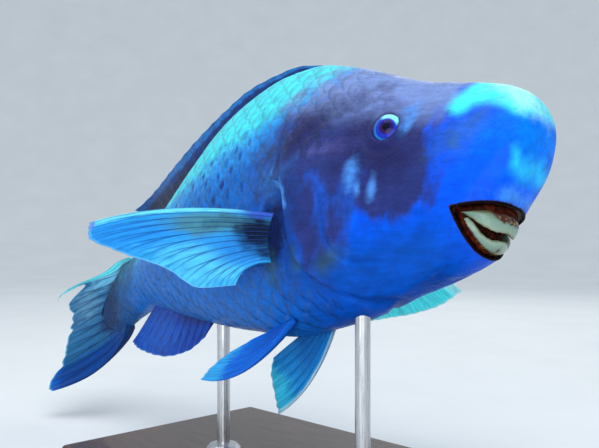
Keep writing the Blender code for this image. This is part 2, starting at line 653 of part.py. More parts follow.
def swim(straight):
    """Bend straight metres along the swimming spine, then roll and pitch the whole fish."""
    p = np.asarray(straight, float) * np.array([-1, 1, 1]) / LENGTH
    grid = np.linspace(0, 1.5, 601)
    yaw, pitch = np.radians(curve(YAW, grid)), np.radians(curve(PITCH, grid))
    back = np.stack([-np.cos(yaw) * np.cos(pitch), np.sin(yaw) * np.cos(pitch), -np.sin(pitch)], -1)
    spine = np.concatenate([[[0, 0, 0]], np.cumsum((back[1:] + back[:-1]) / 2 * grid[1], 0)])
    s, y, z = p[:, 0], p[:, 1], p[:, 2]
    y = y + TAIL_TWIST * np.clip(s - 1, 0, None) * z
    at = np.clip(s, 0, 1.5)

    def along(values):
        return np.stack([np.interp(at, grid, values[:, i]) for i in range(3)], -1)

    direction = along(back)
    direction /= np.linalg.norm(direction, axis=1, keepdims=True)
    turn = np.interp(at, grid, yaw)
    left = np.stack([np.sin(turn), np.cos(turn), 0 * turn], -1)
    up = np.cross(left, -direction)
    up *= np.sign(up[:, 2:3])
    ahead = np.where(s < 0, -s, 0)[:, None] * np.array([1, 0, 0])
    bent = along(spine) + ahead + left * y[:, None] + up * z[:, None]
    roll = Matrix.Rotation(math.radians(ROLL), 3, "X")
    lift = Matrix.Rotation(math.radians(-NOSE_UP), 3, "Y")
    pose = np.array(lift @ roll)
    return bent @ pose.T * LENGTH


def pose_fish():
    for thing in list(bpy.data.objects):
        mesh = thing.data
        points = np.empty(len(mesh.vertices) * 3)
        mesh.vertices.foreach_get("co", points)
        mesh.vertices.foreach_set("co", swim(points.reshape(-1, 3)).ravel())
        mesh.update()


def box(name, low, high, finish):
    """Plain block between two corners with a small rounded edge."""
    corners = [(x, y, z) for x in (low[0], high[0]) for y in (low[1], high[1]) for z in (low[2], high[2])]
    faces = [(0, 1, 3, 2), (4, 6, 7, 5), (0, 4, 5, 1), (2, 3, 7, 6), (0, 2, 6, 4), (1, 5, 7, 3)]
    thing = make(name, corners, faces, finish)
    edge = thing.modifiers.new("edge", "BEVEL")
    edge.width = BASE_EDGE
    edge.segments = 3
    return thing


def build_stand(base_finish, rod_finish):
    """Flat base under the fish's middle and two short rods that end against its belly."""
    fish = [o for o in bpy.data.objects if o.type == "MESH"]
    deck = min(v.co.z for o in fish for v in o.data.vertices) - BASE_CLEAR
    middle = swim(metres([(STAND_MIDDLE, 0, 0)]))[0]
    reach = np.array([BASE_LONG, BASE_WIDE]) / 2
    low, high = middle[:2] - reach, middle[:2] + reach
    box("stand_base", (*low, deck - BASE_THICK), (*high, deck), base_finish)
    for name, place in zip(("stand_rod_front", "stand_rod_rear"), ROD_PLACES):
        spot = swim(metres([(place, 0, float(curve(BELLY, place)))]))[0]
        foot = np.array([spot[0], spot[1], deck + GAP])
        profile = ROD_FLANGE + ((spot[2] + ROD_OVERLONG - foot[2], ROD_RADIUS),)
        rod = lathe(name, foot, (0, 0, 1), profile, sides=20, finish=rod_finish)
        guard = skin_guard()
        points = np.array([tuple(v.co) for v in guard.data.vertices])
        guard.data.vertices.foreach_set("co", swim(points).ravel())
        guard.data.update()
        cut(rod, guard)


def set_origin():
    """Move everything so that the middle of the whole model's underside is the origin."""
    corners = np.array([tuple(v.co) for o in bpy.data.objects for v in o.data.vertices])
    low, high = corners.min(0), corners.max(0)
    shift = np.array([(low[0] + high[0]) / 2, (low[1] + high[1]) / 2, low[2]])
    for thing in bpy.data.objects:
        thing.data.transform(Matrix.Translation(-shift))


def main():
    for thing in list(bpy.data.objects):
        bpy.data.objects.remove(thing)
    skin = material("blue skin", (.02, .18, .75), .35)
    fins = material("fin membrane", (.03, .30, .80), .35)
    eyes = material("eye", (.08, .08, .45), .08)
    beak = material("beak", (.78, .80, .66), .3)
    gum = material("gum", (.10, .02, .02), .35)
    wood = material("stand base", (.05, .05, .055), .4)
    metal = material("stand rod", (.62, .63, .65), .25, 1.0)
    build_head(skin)
    build_eyes(eyes)
    build_gums(gum)
    build_beaks(beak)
    build_torso(skin)
    build_median_fins(fins)
    build_tail_fin(fins)
    build_paired_fins(fins)
    pose_fish()
    build_stand(wood, metal)
    set_origin()
    for thing in bpy.data.objects:
        thing.data.shade_smooth()
        thing.data.set_sharp_from_angle(angle=math.radians(40))
    bpy.context.view_layer.update()


main()
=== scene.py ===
# %% [markdown]
# # A blue parrotfish, life size, on a display stand
# The solids of the model come in as a fixed frame, and this script dresses them: one skin over the
# head, body and tail stem, overlapping scales, fins with rays, eyes, a beak of fused teeth, and the
# studio. Almost every surface is a function of two numbers, worked out with numpy as whole arrays.

# %% Frame and size
import math

import bmesh
import bpy
import numpy as np
from mathutils import Matrix, Vector


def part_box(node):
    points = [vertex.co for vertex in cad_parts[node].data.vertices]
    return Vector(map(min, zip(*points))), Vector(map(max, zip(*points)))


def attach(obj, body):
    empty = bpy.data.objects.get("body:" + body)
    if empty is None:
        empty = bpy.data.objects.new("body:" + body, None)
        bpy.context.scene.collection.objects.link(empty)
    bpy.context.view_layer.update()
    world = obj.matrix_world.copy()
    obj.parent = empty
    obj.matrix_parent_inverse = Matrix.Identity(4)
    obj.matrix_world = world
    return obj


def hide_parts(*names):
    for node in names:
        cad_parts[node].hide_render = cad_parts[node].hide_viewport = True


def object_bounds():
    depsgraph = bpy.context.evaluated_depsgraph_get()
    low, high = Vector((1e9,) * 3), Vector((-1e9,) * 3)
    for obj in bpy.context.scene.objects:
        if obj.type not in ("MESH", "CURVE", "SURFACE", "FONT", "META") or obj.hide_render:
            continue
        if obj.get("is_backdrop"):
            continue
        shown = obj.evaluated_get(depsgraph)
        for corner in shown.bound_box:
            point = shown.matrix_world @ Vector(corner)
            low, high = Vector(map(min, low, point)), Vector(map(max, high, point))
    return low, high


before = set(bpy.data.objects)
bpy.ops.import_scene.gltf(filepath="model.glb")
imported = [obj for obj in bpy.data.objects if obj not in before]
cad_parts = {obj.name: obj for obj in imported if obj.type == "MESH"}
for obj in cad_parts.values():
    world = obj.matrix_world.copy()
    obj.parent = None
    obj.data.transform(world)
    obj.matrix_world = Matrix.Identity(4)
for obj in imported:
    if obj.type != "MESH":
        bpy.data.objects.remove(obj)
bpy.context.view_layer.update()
FISH = 0.60                 # snout to the root of the tail fin, in metres

# %% [markdown]
# ## The fish before it swims
# It is easiest to describe a fish that lies straight: s runs back from the snout, y to its left and z
# up, all as fractions of its length. The back, the belly and the half breadth are three smooth curves,
# and each cross section is an oval through them. The same curves shaped the solids, so the skin made
# here lies on them.

# %% Outline curves
BACK = ((0, .012), (.006, .037), (.02, .057), (.045, .075), (.08, .092), (.12, .110), (.17, .134),
        (.23, .173), (.30, .216), (.38, .252), (.46, .263), (.56, .250), (.66, .209), (.76, .158),
        (.86, .116), (.94, .090), (1.0, .080), (1.1, .075))
BELLY = ((0, .012), (.004, -.004), (.014, -.030), (.03, -.0545), (.052, -.0775), (.07, -.101),
         (.09, -.1262), (.12, -.1362), (.16, -.1425), (.2, -.1478), (.25, -.158), (.3, -.1660), (.4, -.168),
         (.5, -.147), (.6, -.120), (.7, -.092), (.8, -.067), (.88, -.057), (.95, -.060), (1.0, -.070),
         (1.1, -.08))
BREADTH = ((0, 0), (.004, .019), (.014, .033), (.03, .044), (.06, .051), (.1, .056), (.15, .061),
           (.2, .067), (.3, .087), (.4, .096), (.5, .095), (.6, .086), (.7, .070), (.8, .053), (.9, .035),
           (1.0, .022), (1.03, .0110), (1.055, .0040), (1.08, .0002))


def curve(knots, x):
    """Smooth curve through knots that never overshoots: cubic pieces with harmonic mean slopes."""
    k = np.array(knots, float)
    kx, ky = k[:, 0], k[:, 1]
    step = np.diff(kx)
    rise = np.diff(ky) / step
    w1, w2 = 2 * step[1:] + step[:-1], step[1:] + 2 * step[:-1]
    same = rise[:-1] * rise[1:] > 0
    a, b = np.where(same, rise[:-1], 1), np.where(same, rise[1:], 1)
    slope = np.concatenate([rise[:1], np.where(same, (w1 + w2) / (w1 / a + w2 / b), 0), rise[-1:]])
    x = np.clip(np.asarray(x, float), kx[0], kx[-1])
    i = np.clip(np.searchsorted(kx, x, side="right") - 1, 0, len(kx) - 2)
    t = (x - kx[i]) / step[i]
    return (ky[i] * (1 + 2 * t) * (1 - t) ** 2 + slope[i] * step[i] * t * (1 - t) ** 2
            + ky[i + 1] * t * t * (3 - 2 * t) + slope[i + 1] * step[i] * t * t * (t - 1))


def smooth(x):
    """Smooth step: 0 below 0, 1 above 1, with level ends."""
    t = np.clip(x, 0, 1)
    return t * t * (3 - 2 * t)


def oval(s):
    """Top, widest level, bottom, half breadth and the two exponents of the cross section at s."""
    top, low, half = curve(BACK, s), curve(BELLY, s), curve(BREADTH, s)
    k = np.clip((np.asarray(s) - .1) / .25, 0, 1)
    return top, .45 * top + .55 * low, low, half, 2.3 - .65 * k, 2.3 - .2 * k


def section(s, angle):
    """Point of the body: angle 0 is the back, a quarter turn the left side, half a turn the belly."""
    top, middle, low, half, upper, lower = oval(s)
    c, d = np.cos(angle), np.sin(angle)
    power = 2 / np.where(c > 0, upper, lower)
    z = middle + np.where(c > 0, top - middle, middle - low) * np.sign(c) * np.abs(c) ** power
    return np.stack(np.broadcast_arrays(s, half * np.sign(d) * np.abs(d) ** power, z), -1)


def side(s, z):
    """Half breadth of the body at height z, from the same oval."""
    top, middle, low, half, upper, lower = oval(s)
    reach = np.where(z > middle, (z - middle) / (top - middle), (middle - z) / (middle - low))
    power = np.where(z > middle, upper, lower)
    return half * np.clip(1 - np.clip(reach, 0, 1) ** power, 0, 1) ** (1 / power)


print("height at the shoulder", round(float(curve(BACK, .46) - curve(BELLY, .46)) * FISH, 3), "m")

# %% [markdown]
# ## The swimming pose
# A fish swims by bending its spine from side to side. The straight fish is carried along a bent spine:
# each slice keeps its shape and turns with the spine. Then the whole fish rolls towards the viewer and
# lifts its nose. The eyes of the solids tell where the origin of the model lies.

# %% Swim
YAW = ((0, 0), (.2, 0), (.45, 1), (.7, 5.5), (.88, 12.5), (1.0, -3.5), (1.12, -19), (1.35, 6))
PITCH = ((0, 0), (.2, 0), (.5, 0), (.8, -5.5), (1.0, 9), (1.35, 26))
TAIL_TWIST = 1.6
NOSE_UP, ROLL = 14.3, -16.0
SPINE_GRID = np.linspace(0, 1.5, 601)


def swim(points):
    """Slice at s goes to the spine's point there and turns with it, then the body rolls and pitches."""
    p = np.asarray(points, float)
    shape = p.shape
    p = p.reshape(-1, 3)
    yaw, pitch = np.radians(curve(YAW, SPINE_GRID)), np.radians(curve(PITCH, SPINE_GRID))
    back = np.stack([-np.cos(yaw) * np.cos(pitch), np.sin(yaw) * np.cos(pitch), -np.sin(pitch)], -1)
    spine = np.concatenate([[[0, 0, 0]], np.cumsum((back[1:] + back[:-1]) / 2 * SPINE_GRID[1], 0)])
    s, z = p[:, 0], p[:, 2]
    y = p[:, 1] + TAIL_TWIST * np.clip(s - 1, 0, None) * z
    at = np.clip(s, 0, SPINE_GRID[-1])
    direction = np.stack([np.interp(at, SPINE_GRID, back[:, i]) for i in range(3)], -1)
    direction /= np.linalg.norm(direction, axis=1, keepdims=True)
    centre = np.stack([np.interp(at, SPINE_GRID, spine[:, i]) for i in range(3)], -1)
    turn = np.interp(at, SPINE_GRID, yaw)
    left = np.stack([np.sin(turn), np.cos(turn), 0 * turn], -1)
    up = np.cross(left, -direction)
    up *= np.sign(up[:, 2:3])
    bent = centre + left * y[:, None] + up * z[:, None] - np.minimum(s, 0)[:, None] * np.array([1, 0, 0])
    pose = Matrix.Rotation(math.radians(-NOSE_UP), 3, "Y") @ Matrix.Rotation(math.radians(ROLL), 3, "X")
    return (bent @ np.array(pose).T * FISH).reshape(shape)


EYE_PLACE, EYE_RADIUS, EYE_SHOWS = (.189, .052), .029, .0205
EYE_AXIS = np.array([-.30, .95, .02]) / np.linalg.norm((.30, .95, .02))


def eye_frame(left):
    """Eyeball centre and outward axis in the straight fish; left is 1 or -1."""
    s, z = EYE_PLACE
    axis = EYE_AXIS * np.array([1, left, 1])
    skin = np.array([s, left * float(side(s, z)), z])
    return skin - axis * math.sqrt(EYE_RADIUS ** 2 - EYE_SHOWS ** 2), axis


eye_middle = np.mean([np.mean(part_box(n), axis=0) for n in ("eye_left", "eye_right")], axis=0)
SHIFT = np.mean([swim(eye_frame(left)[0]) for left in (1, -1)], axis=0) - eye_middle


def place(points):
    """Straight fractions to the model's own frame, in metres."""
    return swim(points) - SHIFT


print("origin lies", np.round(-SHIFT, 4), "from the snout")

# %% [markdown]
# ## Camera first
# The camera stands ahead of the fish on its right, level and a little below the snout. The lens is a
# normal one: the picture is as wide as 0.75 of the distance. Nothing later depends on it, but with the
# camera made first, each later step can be rendered and compared with the photo.

# %% Camera
PICTURE_WIDE = 599
FOCAL_PIXELS = 800
CAMERA_FROM_SNOUT = np.array([0.4456, -0.8093, -0.1020]) * FISH
CAMERA_TURN = 46.3          # degrees to the left of +Y

camera = bpy.data.objects.new("camera", bpy.data.cameras.new("camera"))
bpy.context.scene.collection.objects.link(camera)
camera.data.sensor_width = 36
camera.data.sensor_fit = "HORIZONTAL"
camera.data.lens = 36 * FOCAL_PIXELS / PICTURE_WIDE
camera.location = Vector(place(np.zeros(3)) + CAMERA_FROM_SNOUT)
camera.rotation_euler = (math.radians(90), 0, math.radians(CAMERA_TURN))
bpy.context.scene.camera = camera
print("camera at", [round(v, 3) for v in camera.location])

# %% [markdown]
# ## Meshes from arrays
# Each piece is one mesh filled straight from numpy arrays. It could be modelled by hand instead, but
# arrays keep every shape tied to the curves above. Numbers that the finish needs later, such as how far
# along a ray a point lies, are stored on the points as named attributes.

# %% Mesh helpers


def grid_faces(rows, columns, wrap=False):
    """Four corners of each cell of a grid; wrap joins the last column to the first."""
    i, j = np.meshgrid(np.arange(rows - 1), np.arange(columns if wrap else columns - 1), indexing="ij")
    k = (j + 1) % columns
    cells = np.stack([i * columns + j, i * columns + k, (i + 1) * columns + k, (i + 1) * columns + j], -1)
    return cells.reshape(-1, 4)


def turn_outward(mesh):
    """Turn the faces of every closed shell of a mesh so that they face outwards."""
    shell = bmesh.new()
    shell.from_mesh(mesh)
    bmesh.ops.recalc_face_normals(shell, faces=shell.faces)
    shell.to_mesh(mesh)
    shell.free()


def mesh_piece(name, points, faces, finish, nodes, data=(), uv=None):
    """One object from points, face arrays, point attributes and a bake map, in place of some nodes."""
    mesh = bpy.data.meshes.new(name)
    loops = np.concatenate([f.ravel() for f in faces]).astype(np.int32)
    sizes = np.concatenate([np.full(len(f), f.shape[1]) for f in faces])
    mesh.vertices.add(len(points))
    mesh.vertices.foreach_set("co", np.asarray(points, np.float32).ravel())
    mesh.loops.add(len(loops))
    mesh.loops.foreach_set("vertex_index", loops)
    mesh.polygons.add(len(sizes))
    mesh.polygons.foreach_set("loop_start", (np.cumsum(sizes) - sizes).astype(np.int32))
    mesh.update(calc_edges=True)
    mesh.validate()
    for key in data:
        layer = mesh.attributes.new(key, "FLOAT", "POINT")
        layer.data.foreach_set("value", np.asarray(data[key], np.float32).ravel())
    if uv is not None:
        layer = mesh.uv_layers.new(name="OFBake")
        corner = np.empty(len(mesh.loops), np.int32)
        mesh.loops.foreach_get("vertex_index", corner)
        layer.data.foreach_set("uv", np.asarray(uv, np.float32)[corner].ravel())
    turn_outward(mesh)
    mesh.materials.append(finish)
    mesh.shade_smooth()
    thing = bpy.data.objects.new(name, mesh)
    bpy.context.scene.collection.objects.link(thing)
    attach(thing, "root")
    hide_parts(*nodes)
    print(name, len(mesh.polygons), "faces")


def closed_tube(name, rings, finish, nodes, data=(), uv=None, tip=None):
    """Rings of points joined into a tube, each end closed with a fan to its middle or to a given tip."""
    rings = np.asarray(rings, float)
    rows, columns = rings.shape[:2]
    tip = rings[:1].mean(1) if tip is None else tip
    points = np.concatenate([rings.reshape(-1, 3), tip, rings[-1:].mean(1)])
    j = np.arange(columns)
    k, pole, last = (j + 1) % columns, np.full(columns, rows * columns), (rows - 1) * columns
    fans = [np.stack([pole, k, j], -1), np.stack([pole + 1, last + j, last + k], -1)]
    data = {key: np.concatenate([np.ravel(data[key]), np.ravel(data[key])[[0, -1]]]) for key in data}
    mesh_piece(name, points, [grid_faces(rows, columns, wrap=True), *fans], finish, nodes, data, uv)


print("helpers ready")

# %% [markdown]
# ## Finishes from nodes
# A finish is a chain of nodes, which needs no picture and stays sharp from near by. A small class keeps
# it short: its numbers know plus, minus and times, and its methods add noise, steps, ramps and one
# colour laid over another wherever a mask says so.

# %% Node helpers


class Number:
    """What a node gives; plus, minus and times add Math nodes."""

    def __init__(self, finish, socket):
        self.finish, self.socket = finish, socket

    def __add__(self, other):
        return self.finish.maths("ADD", self, other)

    def __sub__(self, other):
        return self.finish.maths("SUBTRACT", self, other)

    def __rsub__(self, other):
        return self.finish.maths("SUBTRACT", other, self)

    def __mul__(self, other):
        return self.finish.maths("MULTIPLY", self, other)


class Finish:
    """Material being made. Constant values go straight on the shader's own sockets."""

    def __init__(self, name, roughness, specular=.5, **constants):
        self.material = bpy.data.materials.new(name)
        self.material.use_nodes = True
        self.tree = self.material.node_tree
        self.shader = self.tree.nodes["Principled BSDF"]
        self.set("Specular IOR Level", specular)
        constants = {"roughness": roughness, "coat_roughness": .12, "subsurface_scale": .004,
                     "subsurface_radius": (.3, .6, 1.0), **constants}
        for socket, value in constants.items():
            self.set(socket.replace("_", " ").title(), value)
        self.where = self.add("ShaderNodeTexCoord", output="Object")

    def set(self, socket, value, node=None):
        """Link a number to a socket of a node, or put a constant on it."""
        socket = (node or self.shader).inputs[socket]
        if isinstance(value, Number):
            self.tree.links.new(value.socket, socket)
        else:
            socket.default_value = (*value, 1) if socket.type == "RGBA" else value

    def add(self, kind, *inputs, output=0, **settings):
        """Add one node; inputs are (socket, value) pairs."""
        node = self.tree.nodes.new(kind)
        for key, value in settings.items():
            setattr(node, key, value)
        for socket, value in inputs:
            self.set(socket, value, node)
        return Number(self, node.outputs[output])

    def attribute(self, name):
        return self.add("ShaderNodeAttribute", attribute_name=name, output="Fac")

    def maths(self, operation, a, b=0.0):
        return self.add("ShaderNodeMath", (0, a), (1, b), operation=operation)

    def noise(self, scale, detail=3.0, rough=.55, stretch=None, where=None):
        """Noise of about 1 / scale metres on the object's coordinates, optionally stretched."""
        where = where or self.where
        if stretch:
            where = self.add("ShaderNodeMapping", ("Vector", where), ("Scale", stretch))
        return self.add("ShaderNodeTexNoise", ("Vector", where), ("Scale", scale), ("Detail", detail),
                        ("Roughness", rough))

    def step(self, value, low, high, to_low=0.0, to_high=1.0):
        """Smooth step of a value from low to high."""
        return self.add("ShaderNodeMapRange", ("Value", value), ("From Min", low), ("From Max", high),
                        ("To Min", to_low), ("To Max", to_high), interpolation_type="SMOOTHSTEP")

    def over(self, mask, below, above, blend="MIX"):
        """Colour above laid over colour below where the mask is 1."""
        return self.add("ShaderNodeMix", (0, mask), (6, below), (7, above), output=2,
                        data_type="RGBA", blend_type=blend)

    def dull(self, colour, tone):
        """Colour made darker or lighter by a grey factor."""
        grey = self.add("ShaderNodeCombineColor", (0, tone), (1, tone), (2, tone))
        return self.over(1.0, colour, grey, "MULTIPLY")

    def ramp(self, value, stops):
        """Colour ramp from (position, colour) stops."""
        number = self.add("ShaderNodeValToRGB", (0, value))
        elements = number.socket.node.color_ramp.elements
        while len(elements) < len(stops):
            elements.new(.5)
        for element, (position, colour) in zip(elements, stops):
            element.position, element.color = position, (*colour, 1)
        return number

    def made(self, colour, *layers):
        """The material, with its colour and a stack of height textures, each with its depth in metres."""
        self.set("Base Color", colour)
        normal = []
        for height, depth in layers:
            bump = self.add("ShaderNodeBump", ("Height", height), ("Distance", depth), ("Strength", 1.0),
                            *normal)
            normal = [("Normal", bump)]
        for socket, value in normal:
            self.set(socket, value)
        return self.material


def rgb(red, green, blue):
    """Colour as seen on a screen, 0 to 255, to the linear values that light uses."""
    c = np.array([red, green, blue]) / 255
    return tuple(np.where(c <= .04045, c / 12.92, ((c + .055) / 1.055) ** 2.4))


print("blue of the snout", np.round(rgb(0, 92, 245), 3))

# %% [markdown]
# ## Markings
# A grown male is deep blue, with a dusky mask that runs from the brow over the cheek to the shoulder, a
# pale cyan cap on the bump of the snout and a cyan back. On the real fish these come from pigment cells
# in the skin under clear scales; the back is also painted paler towards the top, as painted light from
# above. Here each marking is a field: a number that is positive inside the marking, 0 on its border and
# negative outside. Outlines are given on the flattened side of the fish, and on the snout by w, the way
# round from its middle. Skin and scales read the same fields, so they agree, and noise in the finish
# breaks up the borders. Some fields are painted light, not markings: shade in the furrows, behind the
# gill cover, at the pectoral root and under the throat, glints on the cheek and gill cover, and a
# highlight on the snout.

# %% Outlines of the markings
DUSK = ((.06, .30), (.080, .095), (.084, .073), (.097, .054), (.110, .045), (.106, .032), (.123, .024),
        (.124, .006), (.120, -.010), (.117, -.029), (.124, -.050), (.129, -.059), (.152, -.064),
        (.157, -.074), (.178, -.077), (.188, -.064), (.195, -.064), (.204, -.070), (.217, -.062),
        (.233, -.053), (.245, -.070), (.252, -.090), (.268, -.106), (.296, -.112), (.322, -.094),
        (.338, -.062), (.343, -.028), (.368, -.013), (.400, -.002), (.415, .040), (.405, .073), (.385, .095),
        (.365, .123), (.349, .144), (.319, .149), (.302, .166), (.287, .182), (.275, .21), (.27, .30))
CAP = ((.150, .050), (.147, .042), (.137, .037), (.127, .038), (.113, .044), (.094, .040), (.076, .030),
       (.059, .018), (.045, .0145), (.018, .0175), (-.01, .0135), (-.01, .30), (.02, .30), (.080, .105),
       (.100, .086), (.121, .073), (.140, .062))
BAND = ((.064, -.022), (.055, -.022), (.049, -.036), (.029, -.034), (.010, -.030), (-.01, -.029),
        (-.01, -.044), (.020, -.050), (.035, -.056), (.054, -.055), (.066, -.042))
BACK_EDGE = ((.25, .22), (.287, .19), (.302, .175), (.319, .160), (.349, .152), (.385, .132), (.41, .124),
             (.47, .114), (.53, .104), (.60, .092), (.70, .075), (.80, .055), (.90, .042), (1.0, .035))
MAUVE_EDGE = ((.06, .03), (.12, .036), (.17, .056), (.235, .074), (.275, .090), (.335, .118), (.40, .150))
GILL_SEAM = ((-.30, .235), (-.155, .245), (-.145, .272), (-.128, .297), (-.097, .327), (-.06, .339),
             (-.028, .341), (0, .344), (.028, .351), (.06, .352), (.09, .342), (.13, .322), (.18, .303),
             (.32, .290))
CHEEK_LINE = ((.300, .010), (.290, -.008), (.284, -.025), (.283, -.051), (.282, -.071), (.273, -.090),
              (.260, -.102), (.235, -.111), (.205, -.113), (.180, -.110))
THROAT_LINE = ((.290, -.134), (.272, -.145), (.248, -.153), (.215, -.153), (.181, -.147), (.138, -.136),
               (.112, -.126))
MOUTH_FOLD = ((.104, -.074), (.113, -.069), (.124, -.070), (.133, -.078), (.136, -.090))
CHEEK_STREAK = ((.296, .012), (.284, -.012), (.281, -.030), (.285, -.055), (.280, -.083), (.262, -.102))
GILL_GLINT = ((.368, .040), (.360, .027), (.353, .017), (.346, .004), (.342, -.010), (.339, -.020))


def spread(points, count):
    """Points spaced evenly in parameter along a smooth curve through given points."""
    p = np.array(points, float)
    t, u = np.linspace(0, 1, len(p)), np.linspace(0, 1, count)
    return np.stack([curve(np.stack([t, p[:, i]], -1), u) for i in range(p.shape[1])], -1)


def distance_to(s, z, line):
    """Distance on the flattened side to a line of (s, z) points, and how far along it from 0 to 1."""
    count = 60
    gap = np.stack([np.hypot(s.ravel() - a, z.ravel() - b) for a, b in spread(line, count)], -1)
    return gap.min(1).reshape(s.shape), (gap.argmin(1) / (count - 1)).reshape(s.shape)


def inside_of(u, v, outline):
    """Distance inside a closed outline, negative outside: nearest edge, signed by counting crossings."""
    far, odd = np.full(u.shape, 9.0), np.zeros(u.shape, bool)
    for (a, b), (c, d) in zip(outline, outline[1:] + outline[:1]):
        t = np.clip(((u - a) * (c - a) + (v - b) * (d - b)) / ((c - a) ** 2 + (d - b) ** 2), 0, 1)
        far = np.minimum(far, np.hypot(u - a - t * (c - a), v - b - t * (d - b)))
        if b != d:
            odd ^= ((b > v) != (d > v)) & (u < a + (v - b) * (c - a) / (d - b))
    return np.where(odd, far, -far)


def blotch(s, z, at_s, at_z, long, wide, tilt=0.0):
    """1 at the middle of an oval patch, 0 on its outline and negative outside."""
    a = math.radians(tilt)
    u, v = s - at_s, z - at_z
    along, across = u * math.cos(a) + v * math.sin(a), v * math.cos(a) - u * math.sin(a)
    return 1 - np.hypot(along / long, across / wide)


def blotches(s, z, *patches):
    """The highest of several oval patches."""
    return np.maximum.reduce([blotch(s, z, *patch) for patch in patches])


print("outlines of", len(DUSK) + len(CAP) + len(BAND), "corners")

# %% Marking fields
BORDER = .010               # a field reaches 1 this far inside its border


def markings(p):
    """All fields at straight points p."""
    s, z = p[..., 0], p[..., 2]
    w = s + np.abs(p[..., 1])
    behind = smooth((s - .24) / .06)
    softer = 2.5 * smooth((z + .02) / .06) + 3.0 * smooth((z - .12) / .05) + 1.8 * smooth((-.05 - z) / .03)
    soft = 1 + .9 * smooth((.155 - s) / .03) + softer * behind
    # Painted shade: a dark line along the gill seam, the cheek line and the throat line, where shade falls in
    # the furrows.
    crease_shade = np.abs(s - curve(GILL_SEAM, z) - .004) + np.clip(z - .14, 0, 1) + np.clip(-.15 - z, 0, 1)
    for line in (CHEEK_LINE, THROAT_LINE):
        gap, along = distance_to(s, z, line)
        crease_shade = np.minimum(crease_shade, gap + .006 * (1 - smooth(along / .3) * smooth((1 - along) / .3)))
    streak, glint = (distance_to(s, z, line)[0] for line in (CHEEK_STREAK, GILL_GLINT))
    # Painted highlight: pale blue glints of reflected light on the cheek and along the gill cover's edge.
    glints = blotches(s, z, (.236, .000, .008, .016, 10), (.228, -.022, .004, .010),
                      (.207, -.028, .005, .012, 8), (.154, .056, .006, .020, 28),
                      (.160, .069, .011, .007, 10))
    ochre = blotches(s, z, (.280, -.102, .020, .010, -20), (.380, -.095, .009, .018, 8),
                     (.333, -.092, .008, .013))
    return {
        "dusk": inside_of(s, z, DUSK) / (BORDER * soft) + .5 * behind * smooth((z - .10) / .05),
        "cap": inside_of(w, z, CAP) / BORDER,
        "band": inside_of(w, z, BAND) / BORDER,
        "azure": blotch(w, z, 0, -.008, .085, .034),
        # Partly painted light: the cyan of the back is the fish's colour, and it grows paler towards the top
        # as painted light from above.
        "back": np.minimum((z - curve(BACK_EDGE, s)) / .045, (s - .265) / .02),
        "mauve": smooth((z - curve(MAUVE_EDGE, s)) / .055 + .35),
        "painted_glint": np.maximum(glints, (1 - glint / .0040) * 1.2),
        "crease_shade": 1 - crease_shade / .0032,
        # Painted shade: a very dark patch on the body at the root of the pectoral fin, under the fin.
        "armpit_shade": 2.4 * blotch(s, z, .372, -.050, .026, .044, 12),
        # Painted shade: a dark patch behind the gill cover, where the body lies in shade.
        "hollow_shade": 1.8 * blotch(s, z, .346, -.048, .026, .066, 12),
        "spots": np.maximum(blotch(s, z, .243, -.036, .012, .026, 10), 1 - streak / .008),
        "dark": blotches(s, z, (.312, .096, .050, .024, -25), (.226, .062, .030, .022),
                         (.185, .012, .040, .032), (.345, .075, .030, .020, 40), (*EYE_PLACE, .027, .027)),
        "light": np.maximum(blotch(s, z, .278, .046, .028, .008, 11),
                            blotch(s, z, .20, .100, .05, .012, 30) * .5),
        "shoulder": blotch(s, z, .378, .025, .032, .060, -8),
        "olive": np.maximum(ochre, blotch(s, z, .099, .002, .018, .015) * .8),
        "patch": blotch(s, z, .066, .021, .026, .014, -45),
        "ridge": blotch(w, z, .058, -.069, .022, .006),
        # Painted highlight: a white patch of reflected light on the top of the snout.
        "painted_highlight": blotch(w, z, .036, .036, .030, .015, 29),
        # Painted shade: mask of the lower side, which the finish darkens under the head.
        "belly": smooth((-.045 - z) / .07) * smooth((s - .05) / .1),
        "tail": smooth((s - .84) / .15)}


print("fields", sorted(markings(np.zeros((1, 3)))))

# %% [markdown]
# ## The skin
# One skin runs from the snout to the scaly foot of the tail fin, as separate pieces would show seams.
# It is a grid of rings and lines on the body's oval, raised and sunk by small reliefs: the gill cover's
# free edge, the cheek bone's rim, the swelling round the eye, folds by the mouth. At the mouth the grid
# dives inwards along the planes of the two lips, so the skin lines the mouth as well and stays one
# closed surface.

# %% Relief of the skin
LIP_LEVEL, MOUTH_CORNER, LIP_FRONT = -.0765, .102, .0515
CHIN_EDGE = (.0911, -.1268)
BROW_LINE = ((.150, .078), (.168, .086), (.190, .090), (.215, .086), (.235, .074))


def furrow(p, line, wide, deep):
    """Groove along a line that fades out at both of its ends, with a soft swelling beside it."""
    gap, along = distance_to(p[..., 0], p[..., 2], line)
    fade = smooth(along / .2) * smooth((1 - along) / .2)
    return fade * deep * (.45 * np.exp(-((gap - 2 * wide) / wide) ** 2) - np.exp(-(gap / wide) ** 2))


def lip_plane(z):
    """Distance back of the lower lip's steep plane at height z."""
    return MOUTH_CORNER + (CHIN_EDGE[0] - MOUTH_CORNER) * (z - LIP_LEVEL) / (CHIN_EDGE[1] - LIP_LEVEL)


def unevenness(p, size, seed):
    """Gentle lumps: the mean of sine waves of about one size in directions drawn at random."""
    draw = np.random.default_rng(seed)
    total = np.zeros(p.shape[:-1])
    for _ in range(9):
        way = draw.normal(size=3)
        way *= draw.uniform(.7, 1.4) * 2 * math.pi / size / np.linalg.norm(way)
        total += np.sin(p @ way + draw.uniform(0, 6.3))
    return total / 9


